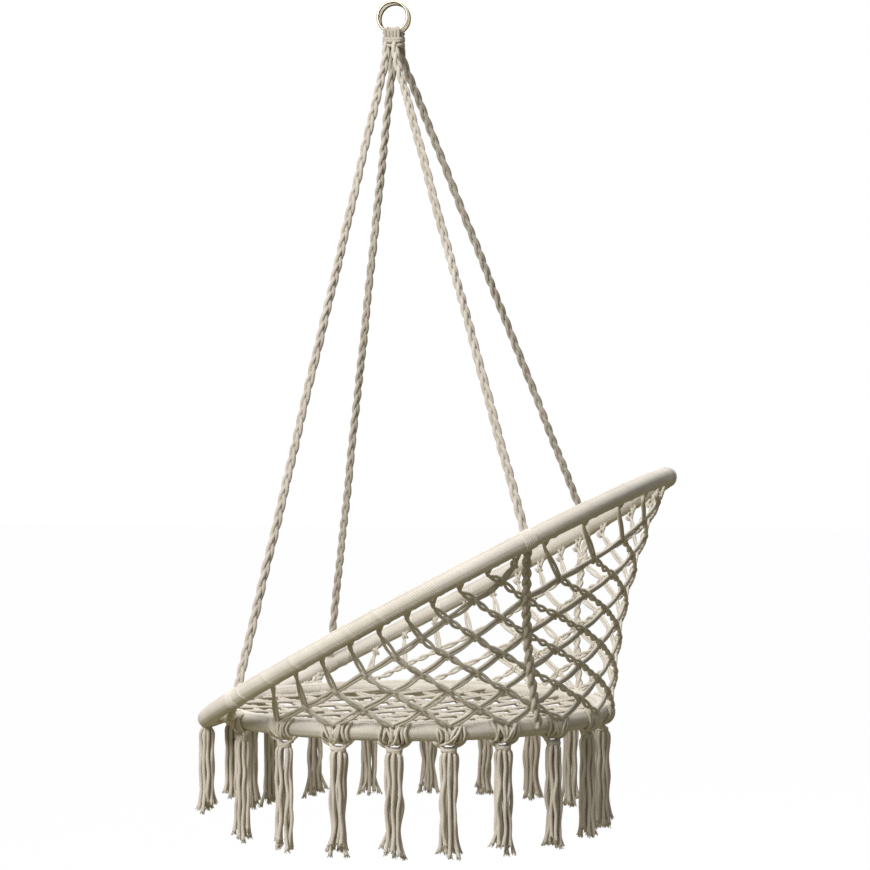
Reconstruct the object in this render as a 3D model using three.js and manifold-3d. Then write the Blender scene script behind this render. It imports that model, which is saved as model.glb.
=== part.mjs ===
// Hammock chair: two cord-wrapped steel hoops hung by four ropes from a pair of steel rings.
// The small hoop carries the seat net and twenty tassels. The large hoop slopes up to the back,
// touches the small one at the front tip, and a knotted back net joins the two.
//
// Units are millimetres and degrees. +Z is up, -X is the front of the seat, +X the back.
// The origin is the hook point: the inside of the rings' top, midway between the two rings.
// Angles round a hoop start at its front and grow towards the near side, -Y.

import * as THREE from "three";
import { mergeVertices } from "three/addons/utils/BufferGeometryUtils.js";
import Module from "manifold-3d";

const wasm = await Module();
wasm.setup();

// Clearances
const TOUCH_GAP = 0.3;
const CUT_OVERRUN = 4;

// Hanging rings
const RING_OUTER_DIAMETER = 50;
const RING_WIRE_DIAMETER = 4.4;
const RING_SPACING = 17;

// Cord loops round the ring wires, and the gathers below them
const LOOP_CORD = 3.3;
const LOOP_TURNS = 5;
const LOOP_HALF_ANGLE = 30;
const GATHER_WIDTH = 27;
const GATHER_DEPTH = 13;
const GATHER_REACH = 20;

// Where the seat hoop hangs, from the hook point
const SEAT_DROP = 1061;
const SEAT_SETBACK = 30;

// Hoops: a steel tube inside a close winding of cord
const HOOP_TUBE_DIAMETER = 19;
const WINDING_CORD = 3.2;
const RIM_OUTER_DIAMETER = 800;
const SEAT_OUTER_DIAMETER = 590;
const RIM_TILT = 28.2;
const TIP_DIP = 43.5;

// Ropes, the hitches that hold them on the rim, and the knotted stays down to the seat
const ROPE_DIAMETER = 12.6;
const ROPE_TOP_SPREAD = 13.2;
const ROPE_BEND_DROP = 34;
const HITCH_LENGTH = 20;
const HITCH_CORD = 4.5;
const STAY_DIAMETER = 16;
const STAY_WAIST = 12;
const STAY_KNOT_PITCH = 26;

// Back net
const NET_THICKNESS = 6;
const KNOT_HALF_WIDTH = 7;
const KNOT_RISE = 2;
const ROW_HEIGHT = 25;
const FIRST_ROW_HEIGHT = 9;
const LAST_ROW_BELOW_RIM = 36;

// Seat net
const SEAT_MESH_DIAGONAL = 68;
const SEAT_NET_THICKNESS = 5;
const SEAT_KNOT_HALF_WIDTH = 6.5;
const SEAT_SAG = 12;

// Tassels: a knot on the hoop, a shallow swag below it and a skirt of cords
const TASSEL_LENGTH = 145;
const TASSEL_TOP_DIAMETER = 26;
const TASSEL_NECK_DIAMETER = 20;
const TASSEL_END_DIAMETER = 38;
const TASSEL_FLUTE_DEPTH = 3;
const SWAG_WIDTH = 52;
const SWAG_DEPTH = 14;
const SWAG_CORD = 5.5;
const HOOP_KNOT_WIDTH = 26;
const HOOP_KNOT_RISE = 3.4;
const HOOP_KNOT_STAND = 5;
const FRONT_TASSEL_INSET = 7;
const FRONT_TASSEL_ANGLE = 30;
const SHORT_TASSEL_LENGTH = 110;
const RIM_TASSEL_LENGTH = 128;
const RIM_TASSEL_ANGLE = 20;

// Columns of the nets and tassels round the seat hoop, in degrees from the front
const TASSEL_ANGLES = [
  6, 24, 43, 63, 81, 97, 112, 128, 146, 164, 182, 202, 222, 240, 258, 277, 297, 316, 337, 348.5,
];
// A column of the net starts at the first angle on the seat hoop and ends at the second on the rim
const RIM_ANGLE_PAIRS = [
  [0, 0], [43, 47.8], [63, 66], [81, 79.8], [97, 93.3],
  [112, 104.6], [128, 117.2], [137, 122.8], [146, 133], [180, 180],
  [214, 227], [222, 237.7], [232, 243.6], [248, 255.4], [263, 266.7],
  [279, 280.2], [297, 295], [316, 315], [360, 360],
];
// The foremost tassel is a short one. The next one hangs from the rim, not from the seat hoop
const SHORT_TASSELS = [1];
const RIM_TASSEL = 2;
// Where each pair of ropes leaves its gather, from the rings' centre towards the back
const ROPE_PAIR_OFFSETS = { near: -2.9, far: 0.2 };
// Half columns that carry a rope and its stay, and those where one panel of the net meets the next
const STAYS = [
  { side: "near_front", column: 4 },
  { side: "near_back", column: 15 },
  { side: "far_back", column: 24 },
  { side: "far_front", column: 34 },
];
const NET_PANELS = [
  { name: "back_net_near_front", from: 4, to: 8 },
  { name: "back_net_near_middle", from: 8, to: 12 },
  { name: "back_net_near_back", from: 12, to: 15 },
  { name: "back_net_back_near", from: 15, to: 20 },
  { name: "back_net_back_far", from: 20, to: 24 },
  { name: "back_net_far_back", from: 24, to: 28 },
  { name: "back_net_far_middle", from: 28, to: 31 },
  { name: "back_net_far_front", from: 31, to: 34 },
];

// Facets
const RING_STEPS = 24;
const RING_SIDES = 8;
const LOOP_STEPS = 12;
const LOOP_SIDES = 5;
const WINDING_SIDES = 10;
const TUBE_SIDES = 6;
const HOOP_STEP_ANGLE = 9;
const ROPE_SIDES = 8;
const SADDLE_SIDES = 48;
const TASSEL_FLUTES = 6;

// Sizes that follow from those above
const RING_RADIUS = (RING_OUTER_DIAMETER - RING_WIRE_DIAMETER) / 2;
const RING_WIRE_RADIUS = RING_WIRE_DIAMETER / 2;
const RING_CENTRE_DROP = RING_RADIUS - RING_WIRE_RADIUS;
const LOOP_PATH_RADIUS = (RING_WIRE_RADIUS + TOUCH_GAP + LOOP_CORD / 2) / Math.cos(Math.PI / LOOP_STEPS);
const LOOP_OUTER_RADIUS = LOOP_PATH_RADIUS + LOOP_CORD / 2;
const SWING_AXIS_DROP = RING_CENTRE_DROP + RING_RADIUS;
const TUBE_RADIUS = HOOP_TUBE_DIAMETER / 2;
const WINDING_BORE_RADIUS = TUBE_RADIUS + TOUCH_GAP;
const WINDING_RADIUS = WINDING_BORE_RADIUS + WINDING_CORD;
const RIM_RADIUS = RIM_OUTER_DIAMETER / 2 - WINDING_RADIUS;
const SEAT_RADIUS = SEAT_OUTER_DIAMETER / 2 - WINDING_RADIUS;
const TIP_DISTANCE = 2 * (WINDING_RADIUS + TOUCH_GAP);
const HITCH_RADIUS = WINDING_RADIUS + HITCH_CORD;
const HITCH_HALF_ANGLE = THREE.MathUtils.radToDeg(HITCH_LENGTH / 2 / RIM_RADIUS);
const STAY_RADIUS = STAY_DIAMETER / 2;
const NET_FOOT_RADIUS = SEAT_RADIUS + WINDING_RADIUS + TOUCH_GAP + NET_THICKNESS / 2;
const STAY_FOOT_RADIUS = SEAT_RADIUS + WINDING_RADIUS + TOUCH_GAP + STAY_RADIUS;

const rimTip = new THREE.Vector3(
  -SEAT_RADIUS - TIP_DISTANCE * cosine(TIP_DIP),
  0,
  -TIP_DISTANCE * sine(TIP_DIP),
);
const rimCentre = new THREE.Vector3(
  rimTip.x + RIM_RADIUS * cosine(RIM_TILT),
  0,
  rimTip.z + RIM_RADIUS * sine(RIM_TILT),
);

// Materials
const cottonCord = () => new THREE.MeshStandardMaterial({ color: 0xcdc4b2, roughness: 0.95, metalness: 0 });
const shadedCord = () => new THREE.MeshStandardMaterial({ color: 0xbdb3a0, roughness: 0.95, metalness: 0 });
const ringSteel = () => new THREE.MeshStandardMaterial({ color: 0xcfc8b8, roughness: 0.22, metalness: 1 });
const tubeSteel = () => new THREE.MeshStandardMaterial({ color: 0x8d9094, roughness: 0.45, metalness: 1 });

// Small helpers
function cosine(degrees) {
  return Math.cos(THREE.MathUtils.degToRad(degrees));
}

function sine(degrees) {
  return Math.sin(THREE.MathUtils.degToRad(degrees));
}

function named(name, geometry, material) {
  const mesh = new THREE.Mesh(geometry, material);
  mesh.name = name;
  return mesh;
}

function geometryFromFaces(points, faces) {
  const geometry = new THREE.BufferGeometry();
  const flat = points.flatMap((point) => [point.x, point.y, point.z]);
  geometry.setAttribute("position", new THREE.Float32BufferAttribute(flat, 3));
  geometry.setIndex(faces.flat());
  geometry.computeVertexNormals();
  return geometry;
}

// Booleans
function solidOf(geometry) {
  const plain = geometry.clone();
  plain.deleteAttribute("normal");
  plain.deleteAttribute("uv");
  const merged = mergeVertices(plain);
  const vertProperties = new Float32Array(merged.attributes.position.array);
  const kept = [];
  for (let k = 0; k < merged.index.count; k += 3) {
    const [a, b, c] = merged.index.array.slice(k, k + 3);
    if (a !== b && b !== c && c !== a) kept.push(a, b, c);
  }
  return new wasm.Manifold(new wasm.Mesh({ numProp: 3, vertProperties, triVerts: new Uint32Array(kept) }));
}

function geometryOf(solid) {
  const mesh = solid.getMesh();
  const geometry = new THREE.BufferGeometry();
  geometry.setAttribute("position", new THREE.Float32BufferAttribute(mesh.vertProperties, 3));
  geometry.setIndex(Array.from(mesh.triVerts));
  geometry.computeVertexNormals();
  return geometry;
}

// Tubes round a hoop. The hoop lies in its own XY plane, centred, with its front at -X
function hoopPoint(hoopRadius, angle, sectionRadius, sectionAngle) {
  const reach = hoopRadius + sectionRadius * cosine(sectionAngle);
  return new THREE.Vector3(-reach * cosine(angle), -reach * sine(angle), sectionRadius * sine(sectionAngle));
}

function sectionLoop(hoopRadius, angle, sectionRadius, sides) {
  const turn = 360 / sides;
  return Array.from({ length: sides }, (_, k) => hoopPoint(hoopRadius, angle, sectionRadius, k * turn));
}

function skinFaces(start, stations, sides, closed) {
  const faces = [];
  const spans = closed ? stations : stations - 1;
  for (let i = 0; i < spans; i += 1) {
    for (let k = 0; k < sides; k += 1) {
      const here = start + i * sides;
      const next = start + ((i + 1) % stations) * sides;
      const turn = (k + 1) % sides;
      faces.push([here + k, next + k, next + turn], [here + k, next + turn, here + turn]);
    }
  }
  return faces;
}

const flipped = (faces) => faces.map(([a, b, c]) => [a, c, b]);

// A solid torus whose section is a polygon
function closedTube(hoopRadius, angles, sectionRadius, sides) {
  const points = angles.flatMap((angle) => sectionLoop(hoopRadius, angle, sectionRadius, sides));
  return geometryFromFaces(points, skinFaces(0, angles.length, sides, true));
}

// An open-ended sleeve: each station has its angle, outer radius and bore radius
function sleeve(hoopRadius, stations, outerSides, boreSides) {
  const outer = stations.flatMap((s) => sectionLoop(hoopRadius, s.angle, s.outer, outerSides));
  const bore = stations.flatMap((s) => sectionLoop(hoopRadius, s.angle, s.bore, boreSides));
  const faces = [
    ...skinFaces(0, stations.length, outerSides, false),
    ...flipped(skinFaces(outer.length, stations.length, boreSides, false)),
  ];
  const ring = (radius, sides) =>
    Array.from({ length: sides }, (_, k) => {
      const angle = (360 * k) / sides;
      return new THREE.Vector2(radius * cosine(angle), radius * sine(angle));
    });
  const capAt = (station) => {
    const { outer: outerRadius, bore: boreRadius } = stations[station];
    const cap = THREE.ShapeUtils.triangulateShape(ring(outerRadius, outerSides), [
      ring(boreRadius, boreSides),
    ]);
    const place = (k) =>
      k < outerSides ? station * outerSides + k : outer.length + station * boreSides + k - outerSides;
    return cap.map((face) => face.map(place));
  };
  faces.push(...capAt(0), ...flipped(capAt(stations.length - 1)));
  return geometryFromFaces([...outer, ...bore], faces);
}

// A solid length of tube round a hoop, used to cut a running clearance
function tubeEnvelope(hoopRadius, angles, sectionRadius, sides) {
  const points = angles.flatMap((angle) => sectionLoop(hoopRadius, angle, sectionRadius, sides));
  const faces = skinFaces(0, angles.length, sides, false);
  const last = (angles.length - 1) * sides;
  for (let k = 1; k < sides - 1; k += 1) {
    faces.push([0, k, k + 1], [last, last + k + 1, last + k]);
  }
  return geometryFromFaces(points, faces);
}

function anglesBetween(from, to) {
  const steps = Math.ceil((to - from) / HOOP_STEP_ANGLE);
  return Array.from({ length: steps + 1 }, (_, k) => from + ((to - from) * k) / steps);
}

// Columns: whole numbers from one tassel to the next in steps of two, halves in between
function columnAngle(column) {
  const count = TASSEL_ANGLES.length;
  const place = column / 2;
  const index = Math.floor(place);
  const turn = (k) => TASSEL_ANGLES[((k % count) + count) % count] + 360 * Math.floor(k / count);
  return THREE.MathUtils.lerp(turn(index), turn(index + 1), place - index);
}

// The angle on the rim where a column of the net ends
function rimAngle(seatAngle) {
  const upper = RIM_ANGLE_PAIRS.findIndex(([seat], k) => k > 0 && seat >= seatAngle);
  const [seatFrom, rimFrom] = RIM_ANGLE_PAIRS[upper - 1];
  const [seatTo, rimTo] = RIM_ANGLE_PAIRS[upper];
  return THREE.MathUtils.mapLinear(seatAngle, seatFrom, seatTo, rimFrom, rimTo);
}

// Places on the two hoops, from the seat hoop's centre
function seatPoint(angle, radius, height) {
  return new THREE.Vector3(-radius * cosine(angle), -radius * sine(angle), height);
}

function rimPoint(angle) {
  const flat = hoopPoint(RIM_RADIUS, angle, 0, 0);
  return flat.applyAxisAngle(new THREE.Vector3(0, 1, 0), THREE.MathUtils.degToRad(-RIM_TILT)).add(rimCentre);
}

function rimTangent(angle) {
  const flat = new THREE.Vector3(sine(angle), -cosine(angle), 0);
  return flat.applyAxisAngle(new THREE.Vector3(0, 1, 0), THREE.MathUtils.degToRad(-RIM_TILT));
}

function rimAngleNearest(place) {
  const flat = place.clone().sub(rimCentre);
  flat.applyAxisAngle(new THREE.Vector3(0, 1, 0), THREE.MathUtils.degToRad(RIM_TILT));
  return THREE.MathUtils.radToDeg(Math.atan2(-flat.y, -flat.x));
}

// Turns a shape made along +Y to run from one point towards another
function aimed(geometry, from, to) {
  const direction = to.clone().sub(from).normalize();
  const turn = new THREE.Quaternion().setFromUnitVectors(new THREE.Vector3(0, 1, 0), direction);
  const placed = geometry.clone();
  placed.applyQuaternion(turn);
  placed.translate(from.x, from.y, from.z);
  return placed;
}

// Hanging rings, each with its cord loop and gather
function hangingRing(side) {
  const angles = Array.from({ length: RING_STEPS }, (_, k) => (360 * k) / RING_STEPS);
  const geometry = closedTube(RING_RADIUS, angles, RING_WIRE_RADIUS, RING_SIDES);
  const mesh = named(`ring_${side.name}`, geometry, ringSteel());
  mesh.rotation.x = Math.PI / 2;
  mesh.position.set(0, side.sign * (RING_SPACING / 2), -RING_CENTRE_DROP);
  return mesh;
}

// The path of the cord that is wound round a ring's wire, over the lowest part of the ring
class WireWinding extends THREE.Curve {
  getPoint(t, target = new THREE.Vector3()) {
    const ringBottom = 90;
    const angle = ringBottom + THREE.MathUtils.lerp(-LOOP_HALF_ANGLE, LOOP_HALF_ANGLE, t);
    return target.copy(hoopPoint(RING_RADIUS, angle, LOOP_PATH_RADIUS, 360 * LOOP_TURNS * t));
  }
}

// The least gap between one turn of a winding and the next, measured on points of its path
function leastTurnGap(path, turns, cord) {
  const perTurn = 2 * LOOP_STEPS;
  const points = path.getPoints(turns * perTurn);
  const gaps = points.flatMap((point, k) =>
    points.slice(k + perTurn / 2).map((other) => point.distanceTo(other) - cord),
  );
  return Math.min(...gaps);
}

function ringLoop(side) {
  const path = new WireWinding();
  const section = new THREE.Shape(
    Array.from({ length: LOOP_SIDES }, (_, k) => {
      const angle = (360 * k) / LOOP_SIDES;
      return new THREE.Vector2((LOOP_CORD / 2) * cosine(angle), (LOOP_CORD / 2) * sine(angle));
    }),
  );
  const steps = LOOP_TURNS * LOOP_STEPS;
  const geometry = new THREE.ExtrudeGeometry(section, { steps, extrudePath: path, bevelEnabled: false });
  console.log(`ring_loop_${side.name}: least gap ${leastTurnGap(path, LOOP_TURNS, LOOP_CORD).toFixed(2)} mm`);
  const mesh = named(`ring_loop_${side.name}`, geometry, cottonCord());
  mesh.rotation.x = Math.PI / 2;
  mesh.position.set(0, side.sign * (RING_SPACING / 2), -RING_CENTRE_DROP);
  return mesh;
}

function stadium(halfLength, radius) {
  const shape = new THREE.Shape();
  shape.absarc(halfLength, 0, radius, -Math.PI / 2, Math.PI / 2, false);
  shape.absarc(-halfLength, 0, radius, Math.PI / 2, (3 * Math.PI) / 2, false);
  return shape;
}

// The saddle on which the ropes turn under the gathers, round the rings' lowest wire
function swingSaddle(radius) {
  const length = GATHER_WIDTH + 2 * CUT_OVERRUN;
  const saddle = new THREE.CylinderGeometry(radius, radius, length, SADDLE_SIDES);
  saddle.rotateZ(Math.PI / 2);
  return saddle;
}

function gather(side) {
  const radius = GATHER_DEPTH / 2;
  const curveSegments = 4;
  const block = new THREE.ExtrudeGeometry(stadium(GATHER_WIDTH / 2 - radius, radius), {
    depth: GATHER_REACH,
    bevelEnabled: false,
    curveSegments,
  });
  const offset = side.sign * (RING_SPACING / 2);
  block.translate(0, offset, -GATHER_REACH - LOOP_OUTER_RADIUS / 2);
  const cutAngles = Array.from({ length: RING_STEPS / 2 + 1 }, (_, k) => (360 * k) / RING_STEPS);
  const cutRadius = (LOOP_OUTER_RADIUS + TOUCH_GAP) / Math.cos(Math.PI / RING_SIDES);
  const cut = tubeEnvelope(RING_RADIUS, cutAngles, cutRadius, RING_SIDES);
  cut.rotateX(Math.PI / 2);
  cut.translate(0, offset, RING_RADIUS);
  const solid = solidOf(block).subtract(solidOf(cut)).intersect(solidOf(swingSaddle(GATHER_REACH)));
  const mesh = named(`gather_${side.name}`, geometryOf(solid), shadedCord());
  mesh.position.z = -SWING_AXIS_DROP;
  return mesh;
}

// Hoops and their windings
const stayAngles = STAYS.map((stay) => columnAngle(stay.column));
const hitchAngles = stayAngles.map(rimAngle);

function rimSpans() {
  const [nearFront, nearBack, farBack, farFront] = hitchAngles;
  const clear = HITCH_HALF_ANGLE;
  const toTip = anglesBetween(farFront + clear - 360, 0);
  const fromTip = anglesBetween(0, nearFront - clear);
  return [
    { name: "rim_winding_front", angles: [...toTip, ...fromTip.slice(1)] },
    { name: "rim_winding_near", angles: anglesBetween(nearFront + clear, nearBack - clear) },
    { name: "rim_winding_back", angles: anglesBetween(nearBack + clear, farBack - clear) },
    { name: "rim_winding_far", angles: anglesBetween(farBack + clear, farFront - clear) },
  ];
}

function seatSpans() {
  const [nearFront, nearBack, farBack, farFront] = STAYS.map((stay) => stay.column);
  const columns = 2 * TASSEL_ANGLES.length;
  const between = (from, to) => Array.from({ length: to - from + 1 }, (_, k) => columnAngle(from + k));
  return [
    { name: "seat_winding_front", angles: between(farFront - columns, nearFront) },
    { name: "seat_winding_near", angles: between(nearFront, nearBack) },
    { name: "seat_winding_back", angles: between(nearBack, farBack) },
    { name: "seat_winding_far", angles: between(farBack, farFront) },
  ];
}

function winding(span, hoopRadius) {
  const endGap = THREE.MathUtils.radToDeg(TOUCH_GAP / 2 / hoopRadius);
  const last = span.angles.length - 1;
  const stations = span.angles.map((angle, k) => ({
    angle: angle + (k === 0 ? endGap : 0) - (k === last ? endGap : 0),
    outer: WINDING_RADIUS,
    bore: WINDING_BORE_RADIUS,
  }));
  return named(span.name, sleeve(hoopRadius, stations, WINDING_SIDES, TUBE_SIDES), cottonCord());
}

function hitch(stay, angle) {
  const bore = WINDING_BORE_RADIUS + TOUCH_GAP;
  const endGap = THREE.MathUtils.radToDeg(TOUCH_GAP / 2 / RIM_RADIUS);
  const half = HITCH_HALF_ANGLE - endGap;
  const crownShare = 0.6;
  const stations = [
    { angle: angle - half, outer: WINDING_RADIUS, bore },
    { angle: angle - half * crownShare, outer: HITCH_RADIUS, bore },
    { angle: angle + half * crownShare, outer: HITCH_RADIUS, bore },
    { angle: angle + half, outer: WINDING_RADIUS, bore },
  ];
  const geometry = sleeve(RIM_RADIUS, stations, WINDING_SIDES, TUBE_SIDES);
  return named(`rope_hitch_${stay.side}`, geometry, shadedCord());
}

function rimGroup() {
  const group = new THREE.Group();
  const spans = rimSpans();
  const tube = closedTube(RIM_RADIUS, spans.flatMap((span) => span.angles), TUBE_RADIUS, TUBE_SIDES);
  group.add(named("rim_hoop", tube, tubeSteel()));
  spans.forEach((span) => group.add(winding(span, RIM_RADIUS)));
  STAYS.forEach((stay, k) => group.add(hitch(stay, hitchAngles[k])));
  group.position.copy(rimCentre);
  group.rotation.y = THREE.MathUtils.degToRad(-RIM_TILT);
  return group;
}

function seatHoopGroup() {
  const group = new THREE.Group();
  const columns = Array.from({ length: 2 * TASSEL_ANGLES.length }, (_, k) => columnAngle(k));
  group.add(named("seat_hoop", closedTube(SEAT_RADIUS, columns, TUBE_RADIUS, TUBE_SIDES), tubeSteel()));
  seatSpans().forEach((span) => group.add(winding(span, SEAT_RADIUS)));
  return group;
}

// The space that the rim and its winding fill, with their clearance
function rimEnvelope() {
  const angles = rimSpans().flatMap((span) => span.angles);
  const tube = closedTube(RIM_RADIUS, angles, WINDING_RADIUS + TOUCH_GAP, WINDING_SIDES);
  tube.rotateY(THREE.MathUtils.degToRad(-RIM_TILT));
  tube.translate(rimCentre.x, rimCentre.y, rimCentre.z);
  return tube;
}

// Ropes and stays, cut to seat on the gathers and on the hitches
function hitchEnvelope(angle) {
  const sides = 16;
  const radius = (HITCH_RADIUS + TOUCH_GAP) / Math.cos(Math.PI / sides);
  const drum = new THREE.CylinderGeometry(radius, radius, HITCH_LENGTH + 2 * CUT_OVERRUN, sides);
  const place = rimPoint(angle);
  return aimed(drum, place, place.clone().add(rimTangent(angle)));
}

function ropeLength(from, to) {
  const length = from.distanceTo(to);
  const plain = new THREE.CylinderGeometry(ROPE_DIAMETER / 2, ROPE_DIAMETER / 2, length, ROPE_SIDES);
  plain.translate(0, length / 2, 0);
  return solidOf(aimed(plain, from, to));
}

// The two ropes of a pair leave the gather side by side, and bend onto lines that meet at its middle
function rope(stay, angle) {
  const [pair, end] = stay.side.split("_");
  const sideSign = pair === "near" ? -1 : 1;
  const endSign = end === "front" ? -1 : 1;
  const axisHeight = SEAT_DROP - SWING_AXIS_DROP;
  const meeting = new THREE.Vector3(
    -SEAT_SETBACK + ROPE_PAIR_OFFSETS[pair],
    sideSign * (RING_SPACING / 2),
    axisHeight - GATHER_REACH / 2,
  );
  const top = meeting.clone();
  top.x += endSign * (ROPE_TOP_SPREAD / 2);
  const bottom = rimPoint(angle);
  const bend = meeting.clone().lerp(bottom, ROPE_BEND_DROP / (meeting.z - bottom.z));
  const jointDetail = 1;
  const joint = new THREE.IcosahedronGeometry(ROPE_DIAMETER / 2, jointDetail);
  joint.translate(bend.x, bend.y, bend.z);
  const saddle = swingSaddle(GATHER_REACH + TOUCH_GAP);
  saddle.translate(-SEAT_SETBACK, 0, axisHeight);
  const solid = ropeLength(bottom, bend)
    .add(ropeLength(bend, top))
    .add(solidOf(joint))
    .subtract(solidOf(hitchEnvelope(angle)))
    .subtract(solidOf(saddle));
  return named(`rope_${stay.side}`, geometryOf(solid), cottonCord());
}

// The stay's foot is cut level, to stand on the knot below it
function knottedStay(stay, seatAngle, angle) {
  const footHeight = HOOP_KNOT_RISE + TOUCH_GAP;
  const foot = seatPoint(seatAngle, STAY_FOOT_RADIUS, footHeight);
  const head = rimPoint(angle);
  const length = foot.distanceTo(head);
  const knots = Math.max(1, Math.round(length / STAY_KNOT_PITCH));
  const pitch = length / knots;
  const profile = [new THREE.Vector2(0, -STAY_DIAMETER), new THREE.Vector2(STAY_WAIST / 2, -STAY_DIAMETER)];
  for (let k = 0; k < knots; k += 1) {
    profile.push(new THREE.Vector2(STAY_WAIST / 2, k * pitch));
    profile.push(new THREE.Vector2(STAY_RADIUS, (k + 1 / 2) * pitch));
  }
  profile.push(new THREE.Vector2(STAY_WAIST / 2, length), new THREE.Vector2(0, length));
  const column = aimed(new THREE.LatheGeometry(profile, ROPE_SIDES), foot, head);
  const spare = 2 * STAY_DIAMETER;
  const below = new THREE.BoxGeometry(2 * spare, 2 * spare, spare);
  below.translate(foot.x, foot.y, footHeight - spare / 2);
  const solid = solidOf(column)
    .subtract(solidOf(below))
    .subtract(solidOf(hitchEnvelope(angle)))
    .subtract(solidOf(rimEnvelope()));
  return named(`stay_${stay.side}`, geometryOf(solid), shadedCord());
}

// Nets: knots at the corners of diamond holes, with a bar of cord between each two.
// A net is a sheet of faces over shared corner points, given its thickness at the end
class NetSheet {
  constructor() {
    this.corners = [];
    this.index = new Map();
    this.faces = [];
  }

  corner(key, place, out, halfThickness) {
    if (!this.index.has(key)) {
      this.index.set(key, this.corners.length);
      this.corners.push({ place, out, halfThickness });
    }
    return this.index.get(key);
  }

  // A bar that climbs to the right from one knot to the next
  barRight(from, to) {
    this.faces.push([from.right, to.bottom, to.left], [from.right, to.left, from.top]);
  }

  // A bar that climbs to the left
  barLeft(from, to) {
    this.faces.push([from.top, to.right, to.bottom], [from.top, to.bottom, from.left]);
  }

  geometry() {
    const outer = this.corners.map(({ place, out, halfThickness }) =>
      place.clone().addScaledVector(out, halfThickness),
    );
    const inner = this.corners.map(({ place, out, halfThickness }) =>
      place.clone().addScaledVector(out, -halfThickness),
    );
    const behind = (face) => face.map((k) => k + outer.length);
    const faces = [...this.faces, ...flipped(this.faces.map(behind))];
    const edges = new Set();
    const directed = this.faces.flatMap(([a, b, c]) => [[a, b], [b, c], [c, a]]);
    directed.forEach(([a, b]) => edges.add(`${a}>${b}`));
    directed
      .filter(([a, b]) => !edges.has(`${b}>${a}`))
      .forEach(([a, b]) => {
        faces.push([a, a + outer.length, b + outer.length], [a, b + outer.length, b]);
      });
    return geometryFromFaces([...outer, ...inner], faces);
  }
}

// Back net
function columnLine(column) {
  const angle = columnAngle(column);
  return { foot: seatPoint(angle, NET_FOOT_RADIUS, FIRST_ROW_HEIGHT), head: rimPoint(rimAngle(angle)) };
}

function placeAtHeight(column, height) {
  const { foot, head } = columnLine(column);
  return foot.clone().lerp(head, (height - foot.z) / (head.z - foot.z));
}

function netFrame(column, height) {
  const { foot, head } = columnLine(column);
  const up = head.clone().sub(foot).normalize();
  const before = placeAtHeight(column - 1, height);
  const across = placeAtHeight(column + 1, height).sub(before).normalize();
  const out = across.clone().cross(up);
  const lean = out.length();
  return { centre: placeAtHeight(column, height), up, across, out: out.normalize(), lean };
}

const rowHeight = (row) => FIRST_ROW_HEIGHT + row * ROW_HEIGHT;

function hasKnot(column, row) {
  if (row < 0 || (column + row) % 2 !== 0) return false;
  return columnLine(column).head.z - rowHeight(row) >= LAST_ROW_BELOW_RIM;
}

function backNetKnot(sheet, panel, column, row) {
  const { centre, up, across, out, lean } = netFrame(column, rowHeight(row));
  const isStay = STAYS.some((stay) => stay.column === column);
  const edgeShift = (isStay ? STAY_RADIUS + 2 * TOUCH_GAP : TOUCH_GAP / 2) / lean;
  const side = Number(column === panel.from) - Number(column === panel.to);
  const shift = side * edgeShift;
  const reach = KNOT_HALF_WIDTH + (isStay ? edgeShift : 0);
  const half = NET_THICKNESS / 2;
  const footDrop = (FIRST_ROW_HEIGHT - HOOP_KNOT_RISE - TOUCH_GAP - half * Math.abs(out.z)) / up.z;
  const drop = row === 0 ? footDrop : KNOT_HALF_WIDTH;
  const sideDrop = row === 0 ? footDrop : 0;
  const key = `${column}:${row}`;
  const at = (name, sideways, rise, thickness) =>
    sheet.corner(
      `${key}${name}`,
      centre.clone().addScaledVector(across, sideways).addScaledVector(up, rise),
      out,
      thickness,
    );
  const knot = {
    left: side > 0 ? null : at("left", -reach, -sideDrop, half),
    bottom: at("bottom", shift, -drop, half),
    right: side < 0 ? null : at("right", reach, -sideDrop, half),
    top: at("top", shift, KNOT_HALF_WIDTH, half),
    crown: at("crown", shift, 0, half + KNOT_RISE),
  };
  return knot;
}

// A knot under the rim: its upper edge lies along the winding, however slanted the column meets it
function rimKnot(sheet, column) {
  const { foot, head } = columnLine(column);
  const { up } = netFrame(column, foot.z);
  const offset = WINDING_RADIUS + 2 * TOUCH_GAP;
  const slant = rimTangent(rimAngle(columnAngle(column))).cross(up).length();
  const below = head.clone().addScaledVector(up, -offset / slant);
  const tangent = rimTangent(rimAngleNearest(below));
  const beside = rimPoint(rimAngleNearest(below));
  const seat = beside.clone().addScaledVector(below.sub(beside).normalize(), offset);
  const out = tangent.clone().cross(up).normalize();
  const half = NET_THICKNESS / 2;
  const halfWidth = (KNOT_HALF_WIDTH * NET_THICKNESS) / (NET_THICKNESS + KNOT_RISE);
  const at = (name, along, rise) =>
    sheet.corner(
      `rim${column}${name}`,
      seat.clone().addScaledVector(tangent, along).addScaledVector(up, rise),
      out,
      half,
    );
  return {
    left: at("left", -halfWidth, 0),
    bottom: at("bottom", 0, -KNOT_HALF_WIDTH),
    right: at("right", halfWidth, 0),
  };
}

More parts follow.
